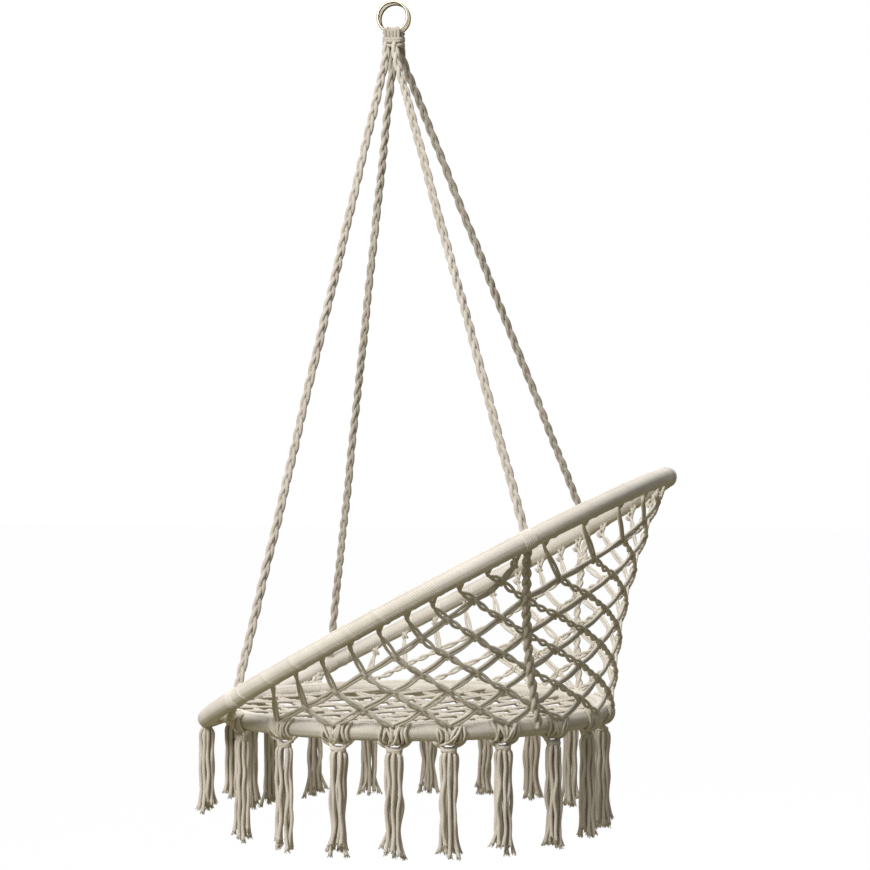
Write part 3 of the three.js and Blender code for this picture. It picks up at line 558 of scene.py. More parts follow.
@dataclass
class CordMesh:
    """Gathers lengths of cord into one piece, with the seeded source of their unevenness.

    Each length is a tube with its own round of UV, in turns round and metres along, and a hollow
    attribute of painted shade that is 1 where the surface faces its neighbours and below 0 for painted light.
    """

    name: str
    seed: int = 0
    points: list[Path] = field(default_factory=list)
    faces: list[list[int]] = field(default_factory=list)
    uvs: list[tuple[float, float]] = field(default_factory=list)
    painted_shade: list[Path] = field(default_factory=list)
    count: int = 0

    def __post_init__(self) -> None:
        """Seeds the unevenness."""
        self.dice = random.Random(self.seed)

    def grid(self, rows: Path, painted_shade: Path, along: Path) -> None:
        """Adds a closed tube from its rings of points.

        Args:
            rows: rings of points, ring by ring.
            painted_shade: the painted shade at each point.
            along: the distance along the tube at each ring.
        """
        rings, sides = rows.shape[:2]
        start = self.count
        self.points.append(rows.reshape(-1, 3))
        self.painted_shade.append(painted_shade.reshape(-1))
        self.count += rings * sides
        for i in range(rings - 1):
            here, ahead = start + i * sides, start + (i + 1) * sides
            v0, v1 = float(along[i]), float(along[i + 1])
            for k in range(sides):
                turn = (k + 1) % sides
                self.faces.append([here + k, here + turn, ahead + turn, ahead + k])
                u0, u1 = k / sides, (k + 1) / sides
                self.uvs += [(u0, v0), (u1, v0), (u1, v1), (u0, v1)]
        last = self.count - sides
        self.faces += [list(range(start, start + sides))[::-1], list(range(last, self.count))]
        self.uvs += [(0.5, float(along[0]))] * sides + [(0.5, float(along[-1]))] * sides

    def tube(
        self, path: Path, radius: float | Path, sides: int = 8, painted_shade: float = 0.0,
        hint: Path | None = None, core: Path | None = None, outer: float = 1.0,
    ) -> None:
        """Adds a length of cord.

        Args:
            path: its centreline.
            radius: its radius, or one for each point.
            sides: faces round it.
            painted_shade: how much painted shade it gets, less than 0 for painted light that makes it paler than
                its neighbours.
            hint: the direction of its first point round.
            core: the middle of the bundle that it lies in, at each point of the path, towards which it gets
                painted shade.
            outer: the bundle's radius, beyond which it gets no painted shade from the bundle.
        """
        normals, binormals = frames_of(path, hint)
        turn = np.arange(sides) * math.tau / sides
        reach = np.broadcast_to(np.asarray(radius, float), (len(path),))[:, None, None]
        ring = np.cos(turn)[None, :, None] * normals[:, None] + np.sin(turn)[None, :, None] * binormals[:, None]
        rows = path[:, None] + reach * ring
        painted_shade_amount = np.full((len(path), sides), float(painted_shade))
        # Painted shade on the faces that turn in towards the bundle's middle.
        if core is not None:
            away = np.linalg.norm(rows - core[:, None], axis=2) / outer
            painted_shade_amount = painted_shade_amount + np.clip((0.95 - away) * 1.5, 0, 1)
        self.grid(rows, painted_shade_amount, along_of(path))

    def build(self, finish: CottonFinish, node: str, slot: Slot, body: Body = Body.CHAIR) -> None:
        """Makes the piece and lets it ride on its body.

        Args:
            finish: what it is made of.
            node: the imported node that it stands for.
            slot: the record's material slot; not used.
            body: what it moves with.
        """
        mesh = bpy.data.meshes.new(self.name)
        mesh.from_pydata(np.vstack(self.points).tolist(), [], self.faces)
        layer = mesh.uv_layers.new(name="cord")
        layer.data.foreach_set("uv", np.array(self.uvs, np.float32).reshape(-1))
        value = mesh.attributes.new("painted_shade", "FLOAT", "POINT")
        value.data.foreach_set("value", np.concatenate(self.painted_shade).astype(np.float32))
        mesh.polygons.foreach_set("use_smooth", np.ones(len(mesh.polygons), bool))
        mesh.update()
        piece = bpy.data.objects.new(self.name, mesh)
        bpy.context.scene.collection.objects.link(piece)
        join_model(piece, finish, node, body)


def join_model(piece: bpy.types.Object, finish: Finish, node: str, body: Body) -> None:
    """Dresses a new piece, lets it stand for its node and reports it.

    Args:
        piece: the piece.
        finish: what it is made of.
        node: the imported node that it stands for.
        body: what it moves with.
    """
    piece.data.materials.append(finish.material())
    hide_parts(node)
    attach(piece, body.value)
    log.info("%s: %d faces", piece.name, len(piece.data.polygons))


# -------- rings and gathers


@dataclass
class HangingRing:
    """One of the two rings, the cord wound on it and the gather below it."""

    name: str
    side: int
    finish: MetalFinish
    ring_radius: float = 0.0228
    wire_radius: float = 0.0022
    loop_cord: float = 0.0045
    loop_turns: int = 5
    loop_half_angle: float = 30.0
    loop_step: float = 0.0008
    weld_reach: float = 0.0016
    weld_swell: float = 1.08
    leg_radius: float = 0.0026
    leg_step: float = 0.0010
    leg_shares: tuple[float, ...] = (-1.0, -0.5, 0.0, 0.5, 1.0)
    leg_route: tuple[tuple[float, float, float, float], ...] = (
        (0.0108, 0.0052, 0.0008, 0.0024), (0.0103, 0.0045, -0.0045, 0.0),
        (0.0099, 0.0037, -0.0105, 0.0), (0.0096, 0.0032, -0.0165, 0.0),
    )
    binding_radius: float = 0.0028
    binding_turns: float = 3.1
    binding_half: float = 0.0070
    binding_end: float = 0.0058
    binding_top: float = -0.0058
    binding_pitch: float = 0.0046
    binding_droop: float = 0.0026
    binding_tilt: float = 0.0010
    binding_step: float = 0.0009

    def __post_init__(self) -> None:
        """Works out where the ring hangs."""
        self.middle = self.side * LAYOUT.ring_spacing / 2
        self.centre = -(self.ring_radius - self.wire_radius)
        self.bottom = self.centre - self.ring_radius

    def build_ring(self) -> None:
        """A ring of plated wire with its weld at the top."""
        bpy.ops.object.select_all(action="DESELECT")
        bpy.ops.mesh.primitive_torus_add(
            major_radius=self.ring_radius, minor_radius=self.wire_radius, major_segments=120, minor_segments=24,
            location=(0, self.middle, self.centre), rotation=(math.pi / 2, 0, 0),
        )
        ring = bpy.context.object
        ring.name = f"hanging_ring_{self.name}"
        bpy.ops.object.transform_apply(location=True, rotation=True, scale=True)
        top = self.centre + self.ring_radius
        bpy.ops.object.mode_set(mode="EDIT")
        bpy.ops.mesh.select_mode(type="VERT")
        bpy.ops.mesh.select_all(action="DESELECT")
        bpy.ops.object.mode_set(mode="OBJECT")
        for vertex in ring.data.vertices:
            vertex.select = abs(vertex.co.x) < self.weld_reach / 2 and vertex.co.z > top - self.wire_radius * 1.5
        bpy.ops.object.mode_set(mode="EDIT")
        bpy.ops.transform.resize(
            value=(1.0, self.weld_swell, self.weld_swell), center_override=(0, self.middle, top),
            use_proportional_edit=True, proportional_size=self.weld_reach,
        )
        bpy.ops.object.mode_set(mode="OBJECT")
        bpy.ops.object.shade_smooth()
        join_model(ring, self.finish, f"ring_{self.name}", Body.RINGS)

    def build_loops(self) -> None:
        """The cord's turns round the wire."""
        turns = np.linspace(0, self.loop_turns, self.loop_turns * 40 + 1)
        angle = np.radians(-self.loop_half_angle + 2 * self.loop_half_angle * turns / self.loop_turns)
        around, reach = np.radians(360 * turns), self.wire_radius + self.loop_cord / 2
        out = self.ring_radius + reach * np.cos(around)
        y = self.middle + reach * np.sin(around)
        path = np.stack([out * np.sin(angle), y, self.centre - out * np.cos(angle)], -1)
        mesh = CordMesh(f"ring_loop_cord_{self.name}")
        mesh.tube(evenly(path, self.loop_step), self.loop_cord / 2, 12)
        mesh.build(LOOP_COTTON, f"ring_loop_{self.name}", Slot.CORD, Body.LOOPS)

    def build_gather(self) -> None:
        """The legs of the turns, bound together close below the wire."""
        mesh = CordMesh(f"gather_cords_{self.name}")
        for share in self.leg_shares:
            for face in (-1, 1):
                points = [
                    (share * wide, self.middle + face * deep, self.bottom + height + arch * share * share)
                    for wide, deep, height, arch in self.leg_route
                ]
                mesh.tube(evenly(curve_through(points, 8), self.leg_step), self.leg_radius, 10, painted_shade=0.05)
        turn = np.linspace(0, self.binding_turns, 210)
        angle = math.tau * turn
        x = self.binding_half * np.clip(1.5 * np.cos(angle), -1, 1) + self.binding_end * np.cos(angle)
        y = self.middle + self.binding_end * np.sin(angle)
        droop = self.binding_droop * np.abs(np.sin(angle)) ** 1.5
        droop = droop + self.binding_tilt * np.sin(angle / 2 + self.side)
        z = self.bottom + self.binding_top - self.binding_pitch * turn - droop
        mesh.tube(evenly(np.stack([x, y, z], -1), self.binding_step), self.binding_radius, 12)
        mesh.build(LOOP_COTTON, f"gather_{self.name}", Slot.NET, Body.LOOPS)

    def build(self) -> None:
        """The ring with its cords."""
        self.build_ring()
        self.build_loops()
        self.build_gather()


# -------- windings


@dataclass
class HoopWinding:
    """The close turns of fine cord on a hoop, as ribs of true size.

    They are lifted into ridges at the angles where the net's cords pass under them, and get painted shade in the
    valleys between turns.
    """

    name: str
    hoop: Hoop
    rope_angles: list[float]
    cord: float = 0.0032
    rib: float = 0.0006
    slant: float = 0.0062
    sides: int = 24
    seed: int = 5
    ridges: tuple[float, ...] = ()
    ridge_width: float = 0.0032
    ridge_heights: tuple[float, float] = (0.0005, 0.0012)
    uneven: float = 0.00009
    sway: float = 0.0005
    lean: float = 0.06
    rib_places: tuple[float, ...] = (-0.46, -0.25, 0.0, 0.25)

    def build_span(self, name: str, start: float, end: float) -> None:
        """One stretch of turns.

        Args:
            name: the stretch's name.
            start: its first angle round the hoop.
            end: its last.
        """
        mesh = CordMesh(f"{self.name}_turns_{name}", self.seed + len(name))
        dice, radius, width = mesh.dice, self.hoop.radius, len(self.rib_places)
        length = math.radians(end - start) * radius
        turns = round(length / self.cord)
        offsets = np.array(self.rib_places)
        place = (np.arange(turns)[:, None] + 0.5 + offsets[None]).reshape(-1)
        drop = self.rib * (2 * np.tile(offsets, turns)) ** 2
        uneven = np.repeat([dice.uniform(-self.uneven, self.uneven) for _ in range(turns)], width)
        lean = np.repeat(np.cumsum([dice.uniform(-self.lean, self.lean) for _ in range(turns)]), width)
        around = np.linspace(0, 360, self.sides, endpoint=False)
        round_tube = np.radians(around)[None]
        shift = -self.slant * np.sin(round_tube) + self.sway * np.sin(round_tube + lean[:, None])
        angle = start + np.degrees((place * length / turns)[:, None] / radius) + np.degrees(shift / radius)
        for ridge in self.ridges:
            off = np.radians(angle.mean(1) - ridge) * radius
            height = dice.uniform(*self.ridge_heights)
            uneven = uneven + height * np.exp(-((off / self.ridge_width) ** 2))
        every = np.ones((1, self.sides))
        rows = self.hoop.point(angle, (LAYOUT.winding_radius - drop + uneven)[:, None] * every, around[None])
        # Painted shade in the valleys between turns, deepest where a turn's surface drops lowest.
        painted_shade = (drop / self.rib)[:, None] * every
        mesh.grid(rows[:, ::-1], painted_shade[:, ::-1], place * self.cord)
        mesh.build(WINDING_COTTON, f"{self.name}_winding_{name}", Slot.CORD)

    def build(self) -> None:
        """All the stretches, from one rope to the next."""
        before = [self.rope_angles[-1] - 360, *self.rope_angles[:-1]]
        for name, start, end in zip(("front", "near", "back", "far"), before, self.rope_angles):
            self.build_span(name, start, end)


# -------- ropes, hitches and stays


@dataclass(frozen=True)
class Plait:
    """Three strands that cross over and under each other in turn."""

    half_width: float
    half_depth: float
    strand: float
    period: float
    waver: float = 0.5
    waver_length: float = 0.42
    haste: float = 0.06
    haste_length: float = 0.31
    slack: float = 0.10
    slack_length: float = 0.17

    def lay(self, mesh: CordMesh, path: Path, facing: Path, painted_shade_amount: float = 0.0) -> None:
        """Adds the strands along a path.

        Args:
            mesh: the piece they join.
            path: the plait's centreline, with close points.
            facing: the direction across its flat side.
            painted_shade_amount: painted shade added to the hollow value.
        """
        normals, binormals = frames_of(path, facing)
        run = along_of(path)
        start, slow = mesh.dice.random(), mesh.dice.uniform(0, 6)
        turn = self.waver * np.sin(math.tau * run / self.waver_length + slow)
        flat = np.cos(turn)[:, None] * normals + np.sin(turn)[:, None] * binormals
        deep = np.cos(turn)[:, None] * binormals - np.sin(turn)[:, None] * normals
        pace = run / self.period + self.haste * np.sin(math.tau * run / self.haste_length + slow)
        for k in range(3):
            theta = math.tau * (pace + start + k / 3)
            slack = 1 + self.slack * np.sin(math.tau * run / self.slack_length + 2.1 * k + slow)
            middle = path + flat * (self.half_width * slack * np.sin(theta))[:, None]
            middle = middle + deep * (self.half_depth * np.sin(2 * theta))[:, None]
            mesh.tube(middle, self.strand, 12, painted_shade=painted_shade_amount, core=path, outer=self.half_width + self.strand)


@dataclass
class Rope:
    """A rope, the hitch that holds it on the rim, and the stay below."""

    name: str
    column: int
    top_spread: float = 0.0132
    bend_drop: float = 0.034
    top_height: float = -0.0534
    pair_offsets: tuple[float, float] = (-0.0029, 0.0002)
    rope_sunk: float = 0.002
    rope_step: float = 0.0021
    stray: float = 0.0007
    stray_length: float = 0.28
    hitch_cord: float = 0.0012
    hitch_turns: int = 8
    hitch_pitch: float = 1.95
    hitch_lift: float = 0.1
    hitch_end_drop: float = 0.5
    hitch_step: float = 0.0014
    stay_rise: float = 0.002
    stay_sunk: float = 0.8
    stay_step: float = 0.0016
    braid: Plait = Plait(0.0033, 0.0016, 0.0032, 0.074)
    stay: Plait = Plait(0.0037, 0.0017, 0.0034, 0.052, 0.15)

    def build_rope(self) -> None:
        """A plaited rope from its gather to the rim."""
        far, back = self.name.startswith("far"), self.name.endswith("back")
        y = (1 if far else -1) * LAYOUT.ring_spacing / 2
        meeting = np.array([self.pair_offsets[far], y, self.top_height])
        top = meeting + np.array([self.top_spread / 2 if back else -self.top_spread / 2, 0, 0])
        foot = LAYOUT.rim.point(LAYOUT.rim_angle(self.column))
        lean = (foot - meeting) / (meeting[2] - foot[2])
        end = foot + unit(meeting - foot) * (LAYOUT.winding_radius - self.rope_sunk)
        bend = meeting + lean * self.bend_drop
        path = np.vstack([curve_through([top, bend, meeting + lean * 2 * self.bend_drop], 14), end])
        mesh = CordMesh(f"rope_strands_{self.name}", self.column)
        path = wandering(evenly(path, self.rope_step)[1:], self.stray, mesh.dice, self.stray_length)
        self.braid.lay(mesh, path, np.array([1.0, 0.25, 0.0]))
        mesh.build(ROPE_COTTON, f"rope_{self.name}", Slot.CORD)

    def build_hitch(self) -> None:
        """The turns that the rope ends in, round the rim."""
        turns, cord = self.hitch_turns, self.hitch_cord
        t = np.linspace(0, turns, turns * 40 + 1)
        lift = self.hitch_lift - self.hitch_end_drop * np.abs(2 * t / turns - 1) ** 3
        reach = LAYOUT.winding_radius + cord * lift
        spread = np.degrees(self.hitch_pitch * cord * (t - turns / 2) / LAYOUT.rim.radius)
        path = LAYOUT.rim.point(LAYOUT.rim_angle(self.column) + spread, reach, 90 + 360 * t)
        mesh = CordMesh(f"rope_hitch_turns_{self.name}")
        mesh.tube(evenly(path, self.hitch_step), cord, 10)
        mesh.build(WINDING_COTTON, f"rope_hitch_{self.name}", Slot.NET)

    def build_stay(self) -> None:
        """A close plait from the rim down to the seat hoop."""
        angle = LAYOUT.column_angle(self.column)
        head = LAYOUT.rim.point(LAYOUT.rim_angle(self.column))
        foot = LAYOUT.seat.point(angle, LAYOUT.stay_foot_radius - LAYOUT.seat_radius) + upright(self.stay_rise)
        head = head + unit(foot - head) * (LAYOUT.winding_radius * self.stay_sunk)
        path = evenly(np.vstack([foot, head]), self.stay_step)
        path = path + LAYOUT.drawn_in(angle, np.linspace(0, 1, len(path)))
        mesh = CordMesh(f"stay_braid_{self.name}", self.column + 50)
        self.stay.lay(mesh, path, LAYOUT.seat.tangent(angle), 0.05)
        mesh.build(NET_COTTON, f"stay_{self.name}", Slot.NET)

    def build(self) -> None:
        """The rope with its hitch and stay."""
        self.build_rope()
        self.build_hitch()
        self.build_stay()


# -------- nets


def side_by_side(path: Path, outward: Path) -> Path:
    """The direction across a path that lies in the net, at each point."""
    return units(np.cross(np.gradient(path, axis=0), outward))


@dataclass
class NetPanel:
    """A panel of the net between the hoops: pairs of cord that cross in hitched knots.

    The partings, the lift, the bows, and the hitch's pitch and half sizes are in widths of the cord.
    """

    name: str
    first: int
    last: int
    cord: float = 0.0046
    neck: float = 0.017
    shortest_neck: float = 0.005
    neck_share: float = 0.4
    long_line: float = 0.024
    lens: float = 0.025
    rows: int = 16
    layer: float = 0.0009
    plain_step: float = 0.0024
    crossed_step: float = 0.0020
    stray: float = 0.0005
    sway: float = 0.06
    plain_apart: float = 0.44
    plain_parting: tuple[float, float] = (0.02, 0.2)
    crossed_parting: tuple[float, float] = (0.55, 0.68)
    crossed_lift: float = 0.36
    hung_bow: tuple[float, float] = (0.5, 0.72)
    short_bow: float = 0.45
    hung_layer: float = 0.0016
    feet_apart: tuple[float, float] = (0.0022, 0.0066)
    feet_aside: tuple[float, float] = (0.0008, 0.0016)
    feet_sunk: float = 0.0022
    foot_swell: float = 0.22
    slack: float = 0.0012
    droop: float = 0.0016
    hitch_turns: float = 1.35
    hitch_pitch: float = 1.25
    hitch_half: tuple[float, float] = (1.12, 0.78)

    def __post_init__(self) -> None:
        """Starts the panel's mesh."""
        self.mesh = CordMesh(f"net_cords_{self.name}", self.first)

    def knot(self, column: float, row: int) -> Path:
        """A knot's middle."""
        return LAYOUT.at_height(column, LAYOUT.knot_height(row))

    def outward(self, column: float, row: int) -> Path:
        """The net's outer side at a knot."""
        foot, head = LAYOUT.column_ends(column)
        return unit(np.cross(self.knot(column + 1, row) - self.knot(column - 1, row), head - foot))

    def highest(self, column: int) -> list[Path]:
        """A column's highest knot, alone in a list, or none."""
        rows = [row for row in range(self.rows) if LAYOUT.has_knot(column, row)]
        return [self.knot(column, row) for row in rows[-1:]]

    def beside_rim(self, column: float) -> tuple[Path, list[Path]]:
        """A column's place on the rim, and the highest knots on both sides of it."""
        knots = self.highest(math.floor(column)) + self.highest(math.ceil(column))
        return LAYOUT.rim.point(LAYOUT.rim_angle(column)), knots

    def rim_place(self, column: float, below: float, beside: float = 0.0) -> Path:
        """A place below the rim, on the way down to the highest knots beside a column.

        Args:
            column: the place along the net.
            below: the distance from the rim's centreline.
            beside: how far along the rim from the column.

        Returns:
            The place.
        """
        head, knots = self.beside_rim(column)
        down = unit(sum(knots) / len(knots) - head)
        return head + down * below + LAYOUT.rim.tangent(LAYOUT.rim_angle(column)) * beside

    def neck_below(self, column: float) -> float:
        """How far below the rim the two lines that end at a column are bound together.

        Args:
            column: the place along the net.

        Returns:
            The distance from the rim's centreline.
        """
        head, knots = self.beside_rim(column)
        clear = min(float(np.linalg.norm(head - place)) for place in knots) - LAYOUT.winding_radius
        return LAYOUT.winding_radius + min(self.neck, max(self.shortest_neck, self.neck_share * clear))

    def plain_pair(self, path: Path, outward: Path) -> None:
        """Two cords that run side by side, and part a little between the knots.

        Args:
            path: the line between them.
            outward: the net's outer side.
        """
        path, dice = evenly(path, self.plain_step), self.mesh.dice
        run = along_of(path) / along_of(path)[-1]
        across = side_by_side(path, outward)
        apart = self.cord * (self.plain_apart + dice.uniform(*self.plain_parting) * np.sin(math.pi * run) ** 2)
        for side in (-1, 1):
            stray = self.stray * np.sin(math.tau * run + dice.uniform(0, 6))
            line = path + across * (side * apart + stray)[:, None] - outward * self.layer
            self.mesh.tube(line, self.cord / 2, painted_shade=0.05, hint=outward)

    def crossed_pair(self, path: Path, outward: Path) -> None:
        """Two cords that cross over each other between the knots, with a slit where they part.

        Args:
            path: the line between them.
            outward: the net's outer side.
        """
        path, dice = evenly(path, self.crossed_step), self.mesh.dice
        length = along_of(path)[-1]
        run = along_of(path) / length
        across = side_by_side(path, outward)
        crossings = max(1, round(length / self.lens))
        swing = math.pi * (crossings * run + self.sway * np.sin(math.tau * run + dice.uniform(0, 6)))
        part = self.cord * dice.uniform(*self.crossed_parting)
        for side in (-1, 1):
            line = path + across * (side * part * np.sin(swing))[:, None]
            line = line + outward * (side * self.cord * self.crossed_lift * np.cos(swing) + self.layer)[:, None]
            self.mesh.tube(line, self.cord / 2, painted_shade=0.1, hint=outward)

    def hitch(self, middle: Path, along: Path, outward: Path) -> None:
        """A turn of the crossed pair round the plain pair.

        Args:
            middle: its place.
            along: the direction of the pair that it holds.
            outward: the net's outer side.
        """
        along = unit(along)
        across = unit(np.cross(outward, along))
        t = np.linspace(0, self.hitch_turns, 26)
        turn = math.tau * t + self.mesh.dice.uniform(2.2, 3.0)
        spread = (t - 0.67) * self.cord * self.hitch_pitch
        path = middle - outward * 0.0006 + along[None] * spread[:, None]
        path = path + across[None] * (np.cos(turn) * self.cord * self.hitch_half[0])[:, None]
        path = path + outward[None] * (np.sin(turn) * self.cord * self.hitch_half[1])[:, None]
        # Painted shade on the hitch, darker than the bars it holds.
        self.mesh.tube(path, self.cord * 0.48, painted_shade=0.15)

    def bar(self, start: Path, end: Path, outward: Path, plain: bool) -> None:
        """A slack bar between two knots.

        Args:
            start: the lower knot.
            end: the higher.
            outward: the net's outer side.
            plain: whether its cords run side by side.
        """
        aside = unit(np.cross(end - start, outward)) * self.mesh.dice.uniform(-self.slack, self.slack)
        middle = (start + end) / 2 + outward * 0.0008 + aside - upright(self.droop)
        lay = self.plain_pair if plain else self.crossed_pair
        lay(curve_through([start, middle, end], 8), outward)

    def hung(self, knot: Path, column: float, way: int, outward: Path) -> None:
        """The last pair of a line, gathered into a neck and spread again under the rim.

        Args:
            knot: the highest knot on its line.
            column: where it meets the rim.
            way: 1 where it climbs towards the next column, -1 towards the one before.
            outward: the net's outer side.
        """
        tube, below, over = LAYOUT.winding_radius, self.neck_below(column), outward * (self.hung_layer * way)
        neck = self.rim_place(column, below)
        long = float(np.linalg.norm(neck - knot)) > self.long_line
        bow = self.mesh.dice.uniform(*self.hung_bow) if long else self.short_bow
        for side in (-1, 1):
            upper, foot = (way * a - side * b for a, b in zip(self.feet_aside, self.feet_apart))
            across = unit(np.cross(neck - knot, outward)) * (side * self.cord)
            cross = outward * (side * self.cord * 0.42)
            points = [
                knot + across * 0.5,
                knot + (neck - knot) * 0.5 + across * bow,
                neck + over + cross * 0.6 - across * 0.12,
                self.rim_place(column, (below + tube) / 2, upper) + over,
                self.rim_place(column, tube - self.feet_sunk, foot) + over * 0.6,
            ]
            path = evenly(curve_through(points, 8), self.crossed_step)
            run = along_of(path)
            thick = self.cord / 2 * (1 + self.foot_swell * np.clip((run - run[-1] + 0.016) / 0.012, 0, 1))
            self.mesh.tube(path, thick, painted_shade=0.1, hint=outward)
        if way == 1 and below > tube + 0.008:
            self.hitch(neck, LAYOUT.rim.tangent(LAYOUT.rim_angle(column)), outward)

    def build_knot(self, column: int, row: int) -> None:
        """A knot with the bars that climb from it.

        Args:
            column: the knot's column.
            row: its row.
        """
        here, outward = self.knot(column, row), self.outward(column, row)
        for way, inside in ((1, column < self.last), (-1, column > self.first)):
            if inside and LAYOUT.has_knot(column + way, row + 1):
                self.bar(here, self.knot(column + way, row + 1), outward, plain=way == 1)
            elif inside:
                self.hung(here, column + way / 2, way, outward)
        if row > 0:
            self.hitch(here, self.knot(column + 1, row + 1) - self.knot(column - 1, row - 1), outward)

    def build(self) -> None:
        """The panel's knots, column by column."""
        for column in range(self.first, self.last + 1):
            for row in range(self.rows):
                if LAYOUT.has_knot(column, row):
                    self.build_knot(column, row)
        self.mesh.build(NET_COTTON, f"back_net_{self.name}", Slot.NET)


@dataclass
class SeatNet:
    """The net across the seat hoop."""

    diagonal: float = 0.068
    cord: float = 0.0043
    sag: float = 0.012
    layer: float = 0.0009
    cord_step: float = 0.0034
    parting: tuple[float, float] = (0.25, 0.85)
    unlevel: tuple[float, float] = (-0.0006, 0.0012)
    knot_turns: float = 1.5
    knot_half: tuple[float, float] = (1.2, 0.75)

    def __post_init__(self) -> None:
        """Starts the net's mesh."""
        self.mesh = CordMesh("seat_net_cords", 11)

    def place(self, flat: Path) -> Path:
        """Places on the sagging net.

        Args:
            flat: their x and y from its centre.

        Returns:
            The places, in the part's frame.
        """
        edge = LAYOUT.seat_radius - LAYOUT.winding_radius
        share = np.minimum(1.0, (flat**2).sum(-1, keepdims=True) / edge**2)
        return np.array(LAYOUT.seat_centre) + np.concatenate([flat, -self.sag * (1 - share)], -1)

    def axes(self, way: int) -> tuple[Path, Path]:
        """The level directions along and across the lines that run one way, 1 or -1."""
        return np.array([1.0, way]) / math.sqrt(2), np.array([-way, 1.0]) / math.sqrt(2)

    def pair(self, way: int, offset: float, start: float, end: float) -> None:
        """Two cords between two knots, bowed apart.

        Args:
            way: 1 for the lines that lie higher, -1 for the others.
            offset: the line's place across.
            start: where the pair starts along it.
            end: where it ends.
        """
        dice, (along, across) = self.mesh.dice, self.axes(way)
        t = np.linspace(0, 1, max(6, int((end - start) / self.cord_step)))
        bow = self.cord * (0.5 + dice.uniform(*self.parting) * np.sin(math.pi * t) ** 1.5)
        for side in (-1, 1):
            flat = along * (start + (end - start) * t)[:, None] + across * (offset + side * bow)[:, None]
            path = self.place(flat)
            path[:, 2] += self.layer * way + dice.uniform(*self.unlevel) * np.sin(math.pi * t)
            self.mesh.tube(path, self.cord / 2, painted_shade=0.05)

    def knot(self, run: float, offset: float) -> None:
        """The overhand turn at a crossing.

        Args:
            run: its place along its line.
            offset: the line's place across.
        """
        along, across = self.axes(1)
        t = np.linspace(0, self.knot_turns, 28)
        turn = math.tau * t + self.mesh.dice.uniform(0, 1)
        flat = along * run + across * offset + along * ((t - self.knot_turns / 2) * self.cord)[:, None]
        path = self.place(flat + across * (np.cos(turn) * self.cord * self.knot_half[0])[:, None])
        path[:, 2] += np.sin(turn) * self.cord * self.knot_half[1]
        # Painted shade on the knot's turn.
        self.mesh.tube(path, self.cord * 0.46, painted_shade=0.2)

    def build(self) -> None:
        """Lines of paired cord both ways, knotted where they cross."""
        edge = LAYOUT.seat_radius - LAYOUT.winding_radius + 0.002
        step = self.diagonal / math.sqrt(2)
        count = int(edge // step) + 1
        places = [k * step for k in range(-count, count + 1)]
        for way in (-1, 1):
            for offset in (place for place in places if abs(place) <= edge - 0.01):
                half = math.sqrt(edge**2 - offset**2)
                knots = [place for place in places if abs(place) < half - 0.012]
                for start, end in zip([-half, *knots], [*knots, half]):
                    self.pair(way, offset, start, end)
                for run in knots if way == 1 else ():
                    self.knot(run, offset)
        self.mesh.build(SEAT_COTTON, "seat_net", Slot.CORD)


# -------- tassels


